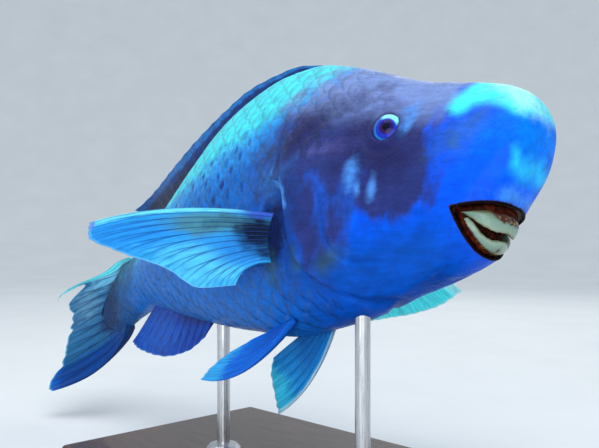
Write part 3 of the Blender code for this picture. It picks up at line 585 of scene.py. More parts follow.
def relief(p):
    """Height of the finished skin above the plain body, as a fraction of the fish, at straight points."""
    s, y, z = p[..., 0], np.abs(p[..., 1]), p[..., 2]
    seam = curve(GILL_SEAM, z)
    flank = smooth((.15 - z) / .06) * smooth((z + .150) / .05)
    cover = .0042 * smooth((s - seam + .06) / .05) * (1 - smooth((s - seam) / .0045)) * flank
    slit = -.0022 * np.exp(-((s - seam - .0065) / .0035) ** 2) * flank
    height = cover + slit
    for line, wide, deep in ((CHEEK_LINE, .0032, .0026), (THROAT_LINE, .0030, .0026),
                             (MOUTH_FOLD, .0030, .0008), (BROW_LINE, .0050, .0010)):
        height = height + furrow(p, line, wide, deep)
    centre, axis = eye_frame(1)
    away = np.stack([s, y, z], -1) - centre
    from_axis = np.linalg.norm(away - (away @ axis)[..., None] * axis, axis=-1)
    from_axis = np.where(np.abs(away @ axis) < .04, from_axis, 9)
    height = height + .0030 * np.exp(-((from_axis - EYE_SHOWS - .0022) / .0030) ** 2)
    height = height - .0012 * np.exp(-((from_axis - EYE_SHOWS - .0125) / .0045) ** 2)
    height = height + .0045 * np.clip(blotch(s, z, .362, -.055, .020, .036, 20), 0, 1) ** .7
    height = height + .0007 * unevenness(p, .06, 4)
    height = height + .00035 * unevenness(p, .022, 5) * smooth((.36 - s) / .05)
    return height - .0010 * smooth((.05 - s) / .04)


print("relief made of the gill cover, cheek, throat, mouth fold, brow and eye swelling")

# %% Skin mesh
RINGS_HEAD, RINGS_BODY, LINES = 196, 150, 232
SCALE_DEPTH = .0008         # how far the skin lies below the scales, as a fraction of the fish
HEAD_END, SKIN_END = .36, 1.08


def bare(p, wide=.012):
    """1 on the scaleless snout and cheeks, 0 where scales cover the skin."""
    s, z = p[..., 0], p[..., 2]
    edge = np.where(z > .03, .235 - .3 * (z - .03), curve(GILL_SEAM, z) - .004)
    return 1 - smooth((s - edge) / wide)


def skin_at(s, angle, lift=0.0):
    """Finished skin: the body's oval in its swimming pose, moved along its own normal by the relief."""
    small = 1e-4
    flat = section(s, angle)
    here = place(flat)
    along = place(section(s + small, angle)) - here
    across = place(section(s, angle + small)) - here
    normal = np.cross(across, along)
    normal /= np.linalg.norm(normal, axis=-1, keepdims=True) + 1e-12
    rise = relief(flat) - SCALE_DEPTH * (1 - bare(flat)) + lift
    return here + normal * (rise * FISH)[..., None], flat, normal


def mouth_dive(flat, world):
    """Skin inside the lips goes back and up to the lips' planes, and deeper towards the throat."""
    s, y, z = flat[..., 0], flat[..., 1], flat[..., 2]
    below_roof, ahead = LIP_LEVEL - z, lip_plane(z) - s
    inside = (below_roof > 0) & (ahead > 0)
    slope = .62
    step_back = np.minimum(np.where(inside, ahead, 0), np.where(inside, below_roof, 0) / slope)
    near = np.clip(np.minimum(below_roof, ahead) / .012, 0, 1)
    throat = .055 * smooth(near) * np.clip(1 - (y / .048) ** 2, 0, 1) ** .5
    moved = np.stack([s + step_back + throat, y * (1 - .25 * smooth(near)),
                      z + slope * step_back + .25 * throat], -1)
    dark = smooth((np.minimum(below_roof, ahead) + .0022) / .0012)
    return np.where(inside[..., None], place(moved), world), dark


def rounded_end(s, angle):
    """Behind the tail stem the rings bunch up towards back and belly, so the skin ends in a curve."""
    return np.where(s > 1, 1 + (s - 1) * (.15 + .85 * np.sin(angle) ** 2), s)


head_rings = HEAD_END * np.linspace(0, 1, RINGS_HEAD + 1)[1:] ** 1.35
body_rings = np.linspace(HEAD_END, SKIN_END, RINGS_BODY + 1)[1:]
ring_s = np.concatenate([head_rings, body_rings])
line_angle = np.linspace(0, 2 * math.pi, LINES, endpoint=False)
skin_points, skin_flat, _ = skin_at(rounded_end(ring_s[:, None], line_angle[None, :]), line_angle[None, :])
skin_points, skin_inside = mouth_dive(skin_flat, skin_points)
print("skin grid", skin_points.shape[:2])

# %% [markdown]
# ## The skin's finish
# Fish skin is wet and a little see-through. Under water it hardly shines, so the clear coat is weak and
# the highlights are tinted blue, and a touch of subsurface light softens the shadows. The markings
# could be one painted picture, but laid one over another from a list of coats they stay easy to change.
# Noise breaks up each border, and noise stretched along the body gives the faint streaks.

# %% Skin finish
PAINT = {name: rgb(*seen) for name, seen in dict(
    # The throat blue is darker than the head's blue: painted shade on the underside.
    blue=(0, 86, 244), azure=(0, 128, 255), throat=(0, 76, 184), belly=(12, 108, 204), flank=(8, 108, 202),
    # lagoon and cyan give the back its colour, paler towards the top as painted light; cyan also colours the
    # cap.
    lagoon=(30, 150, 238), cyan=(60, 230, 246), tail=(24, 70, 120), stem_end=(22, 38, 76), dusk=(42, 48, 106),
    mauve=(116, 142, 200), shoulder=(40, 96, 160), dark=(34, 24, 66), light=(112, 108, 172),
    # The first three colours on the next line are painted shade: behind the gill cover, at the pectoral root
    # and in the furrows.
    hollow_shade=(20, 58, 134), armpit_shade=(6, 10, 58), crease_shade=(0, 36, 104), spots=(6, 96, 226), olive=(50, 84, 88),
    # The second colour on the next line is the pale blue of the painted glints.
    patch=(50, 104, 192), painted_glint=(80, 150, 236), ridge=(70, 150, 245), band=(44, 196, 255),
    # white is used only for the painted highlight on the snout.
    white=(190, 250, 252), mouth=(64, 40, 20)).items()}


def skin_colours(f):
    """All coats in order, markings and painted light, from the blue ground to the painted highlight on the
    snout.
    """
    def rough(scale, amount, stretch=None):
        return (f.noise(scale, 5, .6, stretch) - .5) * amount

    def lay(colour, *coats):
        """Each coat: field, noise on its border, where it starts and is full, strength and paint."""
        for name, border, start, full, strength, paint in coats:
            field = f.attribute(name) + border
            colour = f.over(f.step(field, start, full, 0, strength), colour, PAINT[paint])
        return colour

    soft, fine = rough(38, 2.0), rough(110, 2.6)
    streaky = rough(120, 5.0, (1, 1, .32))
    on_back = rough(120, 1.8, (.22, 1, .7))
    flank = f.step(f.attribute("fore"), .28, .46)
    colour = f.over(flank, PAINT["blue"], PAINT["flank"])
    # Painted shade: the lower side is blended to a darker blue under the head, as shade from the light above;
    # further back the belly blue is about the flank's.
    colour = f.over(f.attribute("belly"), colour, f.over(flank, PAINT["throat"], PAINT["belly"]))
    # The back: lagoon, then cyan towards the top, partly painted light from above.
    colour = lay(colour, ("azure", soft, -.8, .8, 1, "azure"), ("back", on_back, -1.7, .3, 1, "lagoon"),
                 ("back", on_back, -.4, 1.0, 1, "cyan"),
                 ("tail", rough(80, 1.2, (.4, 1, 1)), .1, 1.1, .9, "tail"),
                 ("fore", rough(110, .10, (.3, 1, 1)), .975, 1.045, .8, "stem_end"))
    nape = lay(f.over(f.attribute("mauve"), PAINT["dusk"], PAINT["mauve"]),
               ("shoulder", streaky, -1.2, 1.2, .85, "shoulder"), ("dark", soft, -1.1, 1.1, .9, "dark"),
               ("light", streaky, -1.2, 1.2, .25, "light"))
    nape = f.over(f.step(f.noise(22, 5, .65), .50, .66, 0, .55), nape, PAINT["dark"])
    drips = rough(75, 3.6, (1, 1, .45))
    colour = f.over(f.step(f.attribute("dusk") + drips, -.8, 1.0, 0, .96), colour, nape)
    # Painted shade behind the gill cover comes first.
    return lay(colour, ("hollow_shade", streaky, -1.2, 1.2, .85, "hollow_shade"),
               # Painted shade at the pectoral root and along the furrows.
               ("armpit_shade", fine, -.8, .8, .95, "armpit_shade"), ("crease_shade", rough(60, .8), -.9, .9, .40, "crease_shade"),
               ("spots", streaky, -1.3, 1.3, .5, "spots"),
               ("olive", fine, -1.2, 1.2, .75, "olive"), ("patch", fine, -1.1, 1.1, .8, "patch"),
               # The first coat here is the painted glint on the cheek and the gill cover.
               ("painted_glint", fine, -1.1, 1.1, .75, "painted_glint"), ("ridge", fine, -1.0, 1.0, .8, "ridge"),
               ("band", soft, -1.1, 1.1, .9, "band"), ("cap", rough(34, 1.0), -1.0, 1.0, .96, "cyan"),
               # Painted highlight: the middle of the cap and a patch on the snout's top are whitened for
               # reflected light.
               ("cap", 0.0, 1.2, 4.0, .45, "white"), ("painted_highlight", fine, -1.0, 1.0, .6, "white"))


def skin_finish(name, scaly):
    """Wet skin. On scales, growth rings, a pale rim of painted glint and painted shadows under the rims on
    the flank are added.
    """
    f = Finish(name, .40, .16, coat_weight=.05, subsurface_weight=.06, specular_tint=(.25, .65, 1))
    colour = f.dull(skin_colours(f), f.step(f.noise(70, 5, .65), .3, .7, .86, 1.08))
    colour = f.dull(colour, f.step(f.noise(240, 4, .6, (.22, 1, .8)), .3, .7, .84, 1.10))
    pores = f.add("ShaderNodeTexVoronoi", ("Vector", f.where), ("Scale", 420.0), output="Distance")
    layers = [(f.noise(260, 4, .6), .0006), (pores, .0003)]
    if scaly:
        tip, across = f.attribute("tip"), f.attribute("across")
        # Painted shadow: a dark crescent across the exposed part of each scale, for the shade under the free
        # rim of the scale in front.
        scale_shadow_at = tip + (across * .10 + (f.noise(90, 4) - .5) * .5)
        scale_shadow = f.step(scale_shadow_at, .56, .68) * f.step(scale_shadow_at, .90, .78) * f.attribute("scale_shadow")
        scale_shadow = scale_shadow * f.step(f.maths("ABSOLUTE", across), .62, .16)
        colour = f.over(scale_shadow, colour, rgb(4, 34, 112))
        # Painted highlight: a pale glint along each scale's free rim, strong on the back and faint lower
        # down.
        rim = f.step(tip, .86, .97) * f.step(f.attribute("back"), -1.2, 1.0, .03, .24)
        colour = f.over(rim, colour, f.over(.55, colour, rgb(170, 235, 255)))
        colour = f.dull(colour, f.attribute("tone"))
        layers.append((f.maths("SINE", tip * 90.0), .000015))
    else:
        colour = f.over(f.attribute("inside"), colour, PAINT["mouth"])
    f.set("Roughness", f.step(f.noise(130), .25, .75, .34, .52))
    return f.made(colour, *layers)


skin_material = skin_finish("blue_skin", scaly=False)
scale_material = skin_finish("blue_scales", scaly=True)
fields = {**markings(skin_flat), "inside": skin_inside, "fore": skin_flat[..., 0]}
unwrap = np.stack(np.broadcast_arrays(ring_s[:, None] / 1.2, line_angle[None, :] / (2 * math.pi)), -1)
uv = np.concatenate([unwrap.reshape(-1, 2), [[0, .5], [.9, .5]]])
closed_tube("skin", skin_points, skin_material, ["head", "torso", "tail_stem"], fields, uv,
            place(np.array([[0, 0, curve(BACK, 0.0)]])))

# %% [markdown]
# ## Scales
# A parrotfish has large round scales, set like roof tiles in rows along the body, about two dozen from
# the gill cover to the tail. Bump alone wouldn't lift their rims, so each is a thin plate with its root
# under the one before it. One small grid is the pattern for all: its root dips under the skin and its
# free rim stands clear. Rows keep their distance over the flank, so they end one after another where
# the body narrows, and both rows and scales get smaller towards the tail.

# %% Rows of scales
ROW_APART = .0195           # between rows, down the flank
SCALE_APART = .0330         # between scales of one row
SCALE_LONG, SCALE_HALF = .050, .0220
SCALE_ROOT, SCALE_TIP = -.0011, .0005
SKIRT, SINK = .0018, .0007
table_s = np.linspace(.18, 1.06, 180)
table_angle = np.linspace(0, math.pi, 241)
ring_points = section(table_s[:, None], table_angle[None, :])
arc_steps = np.linalg.norm(np.diff(ring_points, axis=1), axis=-1)
arc = np.concatenate([np.zeros((len(table_s), 1)), np.cumsum(arc_steps, 1)], 1)
SHARES = 200                # steps of the even table below, from the back's middle to the belly's
even_angle = np.stack([np.interp(np.linspace(0, 1, SHARES + 1), row / row[-1], table_angle) for row in arc])


def angle_at(s, down):
    """Angle on the body's oval at a distance down from the back's middle, beyond the belly too."""
    row = np.clip((s - table_s[0]) / (table_s[1] - table_s[0]), 0, len(table_s) - 1.001)
    i = row.astype(int)
    f = row - i
    part = down / (arc[i, -1] * (1 - f) + arc[i + 1, -1] * f)
    folded = 1 - np.abs(1 - np.clip(part, 0, 2))
    c = np.clip(folded * SHARES, 0, SHARES - .001)
    m = c.astype(int)
    g = c - m
    angle = ((even_angle[i, m] * (1 - g) + even_angle[i, m + 1] * g) * (1 - f)
             + (even_angle[i + 1, m] * (1 - g) + even_angle[i + 1, m + 1] * g) * f)
    return np.where(part > 1, 2 * math.pi - angle, angle)


def side_line(s):
    """Distance of the side line from the back's middle: a third of the way down the flank."""
    return .36 * np.interp(s, table_s, arc[:, -1])


def scale_roots():
    """Staggered lattice of roots: (s, distance down the flank)."""
    places = []
    for row in np.arange(-14, 26):
        s = np.arange(.20, 1.045, SCALE_APART) + (row % 2) * SCALE_APART / 2
        places.append(np.stack([s, side_line(s) + row * ROW_APART * (1 - .35 * smooth((s - .6) / .4))], -1))
    roots = np.concatenate(places)
    s, down = roots.T
    girth = np.interp(s, table_s, arc[:, -1])
    angle = angle_at(s, np.clip(down, 0, None))
    flat = section(s, angle)
    on_body = (down > .006) & (down < girth + .004) & (s < .99 + .05 * np.sin(angle) ** 2)
    return roots[on_body & (bare(flat + [.006, 0, 0]) < .5)]


roots = scale_roots()
print("scales on one side", len(roots))

# %% Scale pattern
ALONG, ACROSS = 6, 9
along_grid, across_grid = np.meshgrid(np.linspace(0, 1, ALONG), np.sin(np.linspace(-1.4, 1.4, ACROSS)),
                                      indexing="ij")
pattern_back = along_grid * (SCALE_LONG - SCALE_HALF * (1 - np.sqrt(1 - across_grid ** 2)))
pattern_down = SCALE_HALF * across_grid
pattern_high = SCALE_ROOT + (SCALE_TIP - SCALE_ROOT) * along_grid ** .9 - .0004 * across_grid ** 2
rim = np.concatenate([np.arange(ACROSS), np.arange(1, ALONG) * ACROSS + ACROSS - 1,
                      (ALONG - 1) * ACROSS + np.arange(ACROSS - 2, -1, -1),
                      np.arange(ALONG - 2, 0, -1) * ACROSS])
PATCH = .003                # side of one scale's patch on the bake map


def scale_coat(name, left, seed):
    """All scales of one side as one mesh. left is 1 or -1."""
    draw = np.random.default_rng(seed)
    count = len(roots)
    size = draw.uniform(.97, 1.03, (count, 1, 1))
    shrink = 1 - .42 * smooth((roots[:, 0] - .62) / .4)[:, None, None]
    size = size * shrink
    lift = draw.uniform(.96, 1.04, (count, 1, 1))
    tilt = draw.normal(0, .02, (count, 1, 1))
    s = roots[:, 0, None, None] + pattern_back * size + tilt * pattern_down
    down = np.abs(roots[:, 1, None, None] + pattern_down * size - tilt * pattern_back)
    angle = angle_at(s, down)
    flat = section(s, angle)
    thin = (.40 + .60 * smooth((s - .26) / .30)) * shrink
    high = pattern_high * lift * thin - SINK * bare(flat, .035)
    top, flat, normal = skin_at(s, angle * left, high)
    top = top.reshape(count, -1, 3)
    normal = normal.reshape(count, -1, 3)
    skirt = top[:, rim] - normal[:, rim] * (high.reshape(count, -1)[:, rim] + SKIRT)[..., None] * FISH
    points = np.concatenate([top, skirt], 1)
    each = points.shape[1]
    start = np.arange(count)[:, None, None] * each
    cells = (grid_faces(ALONG, ACROSS)[None] + start).reshape(-1, 4)
    ring = ALONG * ACROSS + np.arange(len(rim))
    wall = np.stack([rim, np.roll(rim, -1), np.roll(ring, -1), ring], -1)[:, ::-1]
    walls = (wall[None] + start).reshape(-1, 4)
    floor = (ring[None] + start[:, 0]).reshape(count, -1)
    tone = draw.uniform(.93, 1.05, (count, 1, 1))
    s0, z0 = flat[:, 3, 4, 0], flat[:, 3, 4, 2]
    # How strong the painted shadow under the scale rims is: strongest on the mid flank, random from scale to
    # scale.
    flank = np.clip(blotch(s0, z0, .54, .058, .21, .080, -12) * 2.4, 0, 1)
    scale_shadows = (.06 + .94 * flank) * draw.uniform(.15, 1, count) * smooth((s0 - .38) / .05)
    fields = {**markings(flat), "fore": s, "tip": along_grid, "across": across_grid, "tone": tone,
              "scale_shadow": scale_shadows[:, None, None]}
    data = {}
    for key, value in fields.items():
        value = np.broadcast_to(value, s.shape).reshape(count, -1)
        data[key] = np.concatenate([value, value[:, rim]], 1)
    root_uv = np.stack([roots[:, 0] / 1.2, (angle[:, 0, 4] * left / (2 * math.pi)) % 1], -1)
    local = np.stack([along_grid - .5, across_grid / 2], -1).reshape(1, -1, 2) * PATCH
    local = np.concatenate([local, local[:, rim]], 1)
    uv = root_uv[:, None] + local
    mesh_piece(name, points.reshape(-1, 3), [cells, walls, floor], scale_material, ["torso"],
               data, uv.reshape(-1, 2))


scale_coat("scales_left", 1, 11)
scale_coat("scales_right", -1, 12)

# %% [markdown]
# ## Fins
# A fin is a thin skin on a fan of rays. Soft rays fork towards the margin. A flat card with a picture
# would have no thickness and no real rays, so each fin here is one closed sheet: a grid from ray roots
# to ray tips, its two faces pushed apart by the thickness, and thicker where a ray runs. Position
# across the fan, position along the ray and closeness to a ray are kept on the points, and the finish
# paints from them.

# %% Fin sheet
RAY_RIDGE = .0011           # how far a ray stands out of each face


def ray_shape(u, v, rays, fork):
    """1 on a ray, falling to 0 between rays. Past fork each ray splits in two that drift apart."""
    place_in = u * (rays - 1)
    nearest = np.round(place_in)
    off = place_in - nearest
    split = .23 * smooth((v - fork) / (1 - fork)) * (v > fork)
    width = .17 - .07 * v
    return np.maximum(np.exp(-((off - split) / width) ** 2), np.exp(-((off + split) / width) ** 2))


def fin_sheet(name, middle, u, v, half, rays, finish, node, wave, fork=.45):
    """Closed plate round a grid of middle points, u across the rays and v along them."""
    ray = ray_shape(u[:, None], v[None, :], rays, fork)
    joints = 1 - .18 * (np.sin(v * 150) > .3)[None, :]
    across, along = np.gradient(middle, axis=0), np.gradient(middle, axis=1)
    normal = np.cross(along, across)
    normal /= np.linalg.norm(normal, axis=2, keepdims=True)
    ripple = wave * np.sin(u[:, None] * (rays - 1) * 2 * math.pi) * v[None, :] ** 1.5
    middle = middle + normal * ripple[..., None]
    thick = half + RAY_RIDGE * ray * joints * (1 - .72 * v)[None, :]
    thick[:, -1] *= .5
    sheets = [middle + normal * thick[..., None], middle - normal * thick[..., None]]
    points = np.concatenate([place(sheet.reshape(-1, 3)) for sheet in sheets])
    columns, rows = middle.shape[:2]
    count = columns * rows
    cells = grid_faces(columns, rows)
    edge = np.concatenate([np.arange(columns) * rows, (columns - 1) * rows + np.arange(1, rows),
                           np.arange(columns - 2, -1, -1) * rows + rows - 1, np.arange(rows - 2, 0, -1)])
    wall = np.stack([edge, np.roll(edge, -1), np.roll(edge, -1) + count, edge + count], -1)
    data = {"ray": ray, "out": v[None, :], "fan": u[:, None]}
    data = {k: np.tile(np.broadcast_to(x, ray.shape).ravel(), 2) for k, x in data.items()}
    mesh_piece(name, points, [cells[:, ::-1], cells + count, wall], finish, [node], data)


def fan_middle(roots, ends, bows, u, v, rays, notch, ragged, seed):
    """Straight rays from roots to ends, bowed in the middle; the margin is scalloped and a bit torn."""
    count = len(u)
    a, b, bow = spread(roots, count), spread(ends, count), spread(bows, count)
    between = .5 - .5 * np.cos(u * (rays - 1) * 2 * math.pi)
    draw = np.random.default_rng(seed)
    torn = np.interp(u, np.linspace(0, 1, 3 * rays), draw.uniform(0, 1, 3 * rays)) ** 3
    short = notch * between + ragged * torn
    b = b + (a - b) * short[:, None]
    middle = a[:, None] + (b - a)[:, None] * v[None, :, None]
    return middle + bow[:, None] * (4 * v * (1 - v))[None, :, None]


print("fins can be built")

# %% [markdown]
# ## The finish of the fins
# Each fin has patches of colour, dark lines on the rays and a thin pale margin. A patch is an oval,
# given by its place across the fan and out along the rays, so one recipe serves every fin.

# %% Fin finish


def fin_finish(name, ground, patches, lines, line_strength, margin):
    """Ovals of paint at (across, out) on the fan, drawn out along the rays, then dark rays and a margin."""
    f = Finish(name, .38, .16, coat_weight=.05, subsurface_weight=.08, specular_tint=(.25, .65, 1))
    fan, out = f.attribute("fan"), f.attribute("out")
    on_fan = f.add("ShaderNodeCombineXYZ", (0, fan * 44.0), (1, out * 5.0))
    streak = f.noise(1.0, 5, .65, where=on_fan)
    wobble = (f.noise(45, 4) - .5) * 1.2 + (streak - .5) * 1.5
    colour = rgb(*ground)
    for paint, at_fan, at_out, half_fan, half_out, strength in patches:
        a, b = (fan - at_fan) * (1 / half_fan), (out - at_out) * (1 / half_out)
        field = (1.0 - f.maths("SQRT", a * a + b * b)) + wobble
        colour = f.over(f.step(field, -.25, .55, 0, strength), colour, rgb(*paint))
    colour = f.dull(colour, f.step(streak, .30, .70, .72, 1.16))
    dark = f.step(f.attribute("ray"), .50, .95, 0, line_strength) * f.step(streak, .25, .65, .45, 1)
    colour = f.over(dark * f.step(out, 1.0, .55, .4, 1), colour, rgb(*lines))
    colour = f.over(f.step(out, .972, .992, 0, .6), colour, rgb(*margin))
    return f.made(colour, (f.noise(420), .0004), (streak, .0005))


pectoral_finish = fin_finish("pectoral_skin", (50, 168, 240), [
    ((28, 128, 230), .30, .78, .24, .34, .6), ((96, 208, 250), .72, .75, .30, .32, .6),
    ((34, 116, 206), .66, .25, .30, .30, .7), ((78, 134, 140), .24, .30, .20, .30, .85),
    # The navy patch at the fin's root is painted shade, where the fin meets the body.
    ((116, 226, 252), .0, .50, .075, .70, .95), ((0, 2, 44), .44, .0, .50, .30, 1.0),
    ((56, 84, 204), .02, .06, .12, .15, .9), ((112, 96, 214), .03, 1.0, .10, .035, .8)],
    (10, 48, 124), .85, (120, 200, 250))
# Painted light: the far pectoral fin is a much paler cyan copy of the fin's colours, for light shining
# through it.
left_pectoral_lit_finish = fin_finish("left_pectoral_lit_skin", (70, 244, 255), [
    ((180, 250, 255), .0, .50, .08, .90, .9), ((40, 160, 220), .50, .0, .60, .30, .6)],
    (40, 190, 230), .3, (180, 250, 255))
dorsal_finish = fin_finish("dorsal_skin", (6, 44, 116), [
    ((2, 12, 58), .50, .30, .90, .34, .85), ((30, 116, 190), .40, .86, .70, .13, .8),
    ((4, 8, 42), .95, .30, .26, .60, .85)], (2, 14, 60), .75, (80, 170, 240))
anal_finish = fin_finish("anal_skin", (0, 64, 168), [
    ((4, 96, 206), .70, .60, .40, .40, .6), ((16, 22, 90), .12, .0, .40, .34, .8)],
    (4, 26, 100), .8, (70, 160, 236))
pelvic_finish = fin_finish("pelvic_skin", (16, 108, 222), [
    ((60, 186, 246), .30, .95, .60, .22, .7), ((8, 76, 184), .65, .10, .45, .40, .6)],
    (8, 56, 160), .55, (110, 205, 250))
left_pelvic_finish = fin_finish("left_pelvic_skin", (26, 146, 224), [
    ((60, 212, 244), .30, 1.0, .60, .28, .8), ((12, 84, 168), .60, .15, .50, .40, .7),
    ((196, 238, 250), .0, .50, .075, .90, .9)], (10, 70, 150), .6, (130, 220, 250))
caudal_finish = fin_finish("caudal_skin", (38, 98, 142), [
    ((112, 190, 226), .80, .52, .15, .36, .8), ((100, 150, 180), .60, .72, .16, .24, .55),
    ((46, 68, 116), .50, .10, .50, .26, .85), ((30, 36, 80), .38, .34, .14, .22, .8),
    ((30, 36, 80), .64, .24, .08, .22, .6),
    ((2, 56, 132), .04, .60, .19, .90, .95), ((12, 96, 196), .0, 1.0, .20, .12, .6),
    ((100, 232, 244), .95, .60, .10, .90, .95)], (16, 30, 78), .85, (90, 186, 220))
print("seven fin finishes")

# %% Paired and median fins
DORSAL_ROOT, DORSAL_SUNK = (.335, .42, .51, .60, .69, .77, .825, .865), .012
DORSAL_TIP = ((.352, 0, .243), (.452, 0, .281), (.560, 0, .290), (.660, 0, .275), (.755, 0, .251),
              (.845, 0, .224), (.915, 0, .207), (.985, 0, .192))
ANAL_ROOT, ANAL_SUNK = (.615, .675, .73, .785, .835), .010
ANAL_TIP = ((.641, 0, -.135), (.690, 0, -.152), (.752, 0, -.156), (.855, 0, -.144), (.942, 0, -.122),
            (.975, 0, -.102))
PECTORAL_ROOT = ((.352, .080, -.026), (.362, .080, -.046), (.372, .078, -.066), (.380, .076, -.086))
PECTORAL_RIGHT = ((.611, -.235, -.008), (.615, -.231, -.028), (.570, -.200, -.056), (.503, -.165, -.087),
                  (.459, -.135, -.118), (.405, -.115, -.121))
PECTORAL_LEFT = ((.405, .365, -.022), (.440, .350, -.044), (.472, .318, -.060), (.490, .272, -.074),
                 (.480, .215, -.092), (.440, .150, -.110))
PELVIC_ROOT = ((.374, .036, -.158), (.390, .032, -.158), (.418, .022, -.154))
PELVIC_RIGHT = ((.565, -.050, -.217), (.548, -.050, -.205), (.508, -.046, -.186), (.458, -.040, -.171))
PELVIC_LEFT = ((.543, .080, -.254), (.538, .068, -.232), (.533, .054, -.201), (.510, .038, -.178))
STILL = ((0, 0, 0), (0, 0, 0))
ROOT_HALF, MARGIN_HALF = .0036, .00035      # half the thickness at the root and at the margin


def fan_fin(name, node, roots, ends, finish, rays, per_ray, steps, seed, bows=STILL, notch=.010, ragged=.008,
            fork=.45):
    """Fin fanned from a line of roots to a line of tips, thick at the root and thin at the margin."""
    u = np.linspace(0, 1, (rays - 1) * per_ray + 1)
    v = np.linspace(0, 1, steps + 1)
    middle = fan_middle(roots, ends, bows, u, v, rays, notch, ragged, seed)
    half = MARGIN_HALF + (ROOT_HALF - MARGIN_HALF) * (1 - v)[None, :] ** 3 + 0 * u[:, None]
    fin_sheet(name, middle, u, v, half, rays, finish, node, .0006, fork)


mirror = np.array([1, -1, 1])
dorsal_roots = [(s, 0, float(curve(BACK, s)) - DORSAL_SUNK) for s in DORSAL_ROOT]
fan_fin("dorsal_sheet", "dorsal_fin", dorsal_roots, DORSAL_TIP, dorsal_finish, 19, 8, 30,
        2, notch=.003, ragged=.004, fork=.6)
anal_roots = [(s, 0, float(curve(BELLY, s)) + ANAL_SUNK) for s in ANAL_ROOT]
fan_fin("anal_sheet", "anal_fin", anal_roots, ANAL_TIP, anal_finish, 12, 10, 30, 3)
fan_fin("pectoral_sheet_right", "pectoral_fin_right", PECTORAL_ROOT * mirror, PECTORAL_RIGHT, pectoral_finish,
        14, 12, 60, 4, ((0, -.012, .012), (0, -.012, .004)), notch=.004, ragged=.004)
fan_fin("pectoral_sheet_left", "pectoral_fin_left", PECTORAL_ROOT, PECTORAL_LEFT, left_pectoral_lit_finish,
        14, 12, 60, 5, ((0, 0, .014), (0, 0, .006)), notch=.003, ragged=.003)
fan_fin("pelvic_sheet_right", "pelvic_fin_right", PELVIC_ROOT * mirror, PELVIC_RIGHT, pelvic_finish,
        7, 12, 40, 6, ((0, 0, -.028), (0, 0, 0)))
fan_fin("pelvic_sheet_left", "pelvic_fin_left", PELVIC_ROOT, PELVIC_LEFT, left_pelvic_finish,
        7, 12, 40, 7, ((-.012, 0, -.014), (0, 0, 0)))

# %% [markdown]
# ## The tail fin
# The tail of a grown male is a crescent: its outer rays run on into points. The rays spread from the
# height of the tail stem, and the outer ones set off steeply before they bend back. Straight rays would
# make a plain fan, so the reach and the height of the ray tips are two curves over the rays.

# %% Tail fin
TAIL_RAYS = 14
TAIL_REACH = ((-1, .190), (-.9, .207), (-.78, .206), (-.62, .180), (-.4, .168), (.15, .172), (.34, .186),
              (.45, .150), (.52, .128), (.62, .150), (.78, .206), (1, .2925))
TAIL_HEIGHT = ((-1, -.149), (-.9, -.138), (-.78, -.119), (-.5, -.084), (0, .004), (.34, .054), (.52, .078),
               (.78, .105), (1, .1470))
TAIL_FULLNESS, TAIL_LOW_BULGE, TAIL_TOP_SAG, TAIL_TOP_BULGE = .35, .016, .0145, .011


def tail_fin():
    """Height follows a power of the way out, smaller for lower rays. Both lobes sag a little."""
    t = np.linspace(0, 1, (TAIL_RAYS - 1) * 12 + 1)
    u = 2 * t - 1
    v = np.linspace(0, 1, 61)
    top, low = float(curve(BACK, 1.0)), float(curve(BELLY, 1.0))
    root = (top + low) / 2 + (top - low) / 2 * .97 * np.sin(u * math.pi / 2)
    between = .5 - .5 * np.cos(t * (TAIL_RAYS - 1) * 2 * math.pi)
    tears = 46
    torn = np.interp(t, np.linspace(0, 1, tears), np.random.default_rng(8).uniform(0, 1, tears)) ** 2
    inner = np.clip(1 - u ** 4, 0, 1)
    reach = curve(TAIL_REACH, u) * (1 - .02 * between - .05 * torn * inner)
    height = curve(TAIL_HEIGHT, u)
    fullness = 1 - TAIL_FULLNESS * np.clip(-u, 0, 1)[:, None] ** 3
    up = root[:, None] + (height - root)[:, None] * v[None, :] ** fullness
    lower, upper = np.clip(-u, 0, 1)[:, None] ** 3, np.clip(u, 0, 1)[:, None] ** 3
    up -= (TAIL_LOW_BULGE * lower + TAIL_TOP_SAG * upper) * (4 * v * (1 - v))[None, :]
    up += TAIL_TOP_BULGE * upper * np.exp(-((v - .15) / .12) ** 2)[None, :]
    back = .985 + (reach[:, None] + .015) * v[None, :]
    fold = .006 * np.sin(u[:, None] * 7 + 1) * v[None, :] ** 2
    fold = fold - .0105 * np.clip(u, 0, 1)[:, None] ** 4 * v[None, :] ** 5
    middle = np.stack([back, fold, up], -1)
    half = .0004 + .009 * np.clip(1 - v / .45, 0, 1)[None, :] ** 2 + 0 * u[:, None]
    fin_sheet("caudal_sheet", middle, t, v, half, TAIL_RAYS, caudal_finish, "caudal_fin", .0012)


tail_fin()

# %% [markdown]
# ## Eyes
# A parrotfish turns its eyes in round sockets. The ball is glossy, with a dark pupil, a thin reddish
# rim, violet and blue rings and a pale crescent above. The ball is a turned surface about the eye's
# axis, and the finish reads the distance from that axis and the direction round it, so its rings stay
# round and sharp without a picture.

# %% Eyes


def frame_on(axis):
    """Three columns: sideways, upwards and along the axis."""
    sideways = np.cross((0, 0, 1), axis)
    sideways /= np.linalg.norm(sideways)
    return np.stack([sideways, np.cross(axis, sideways), axis], 1)


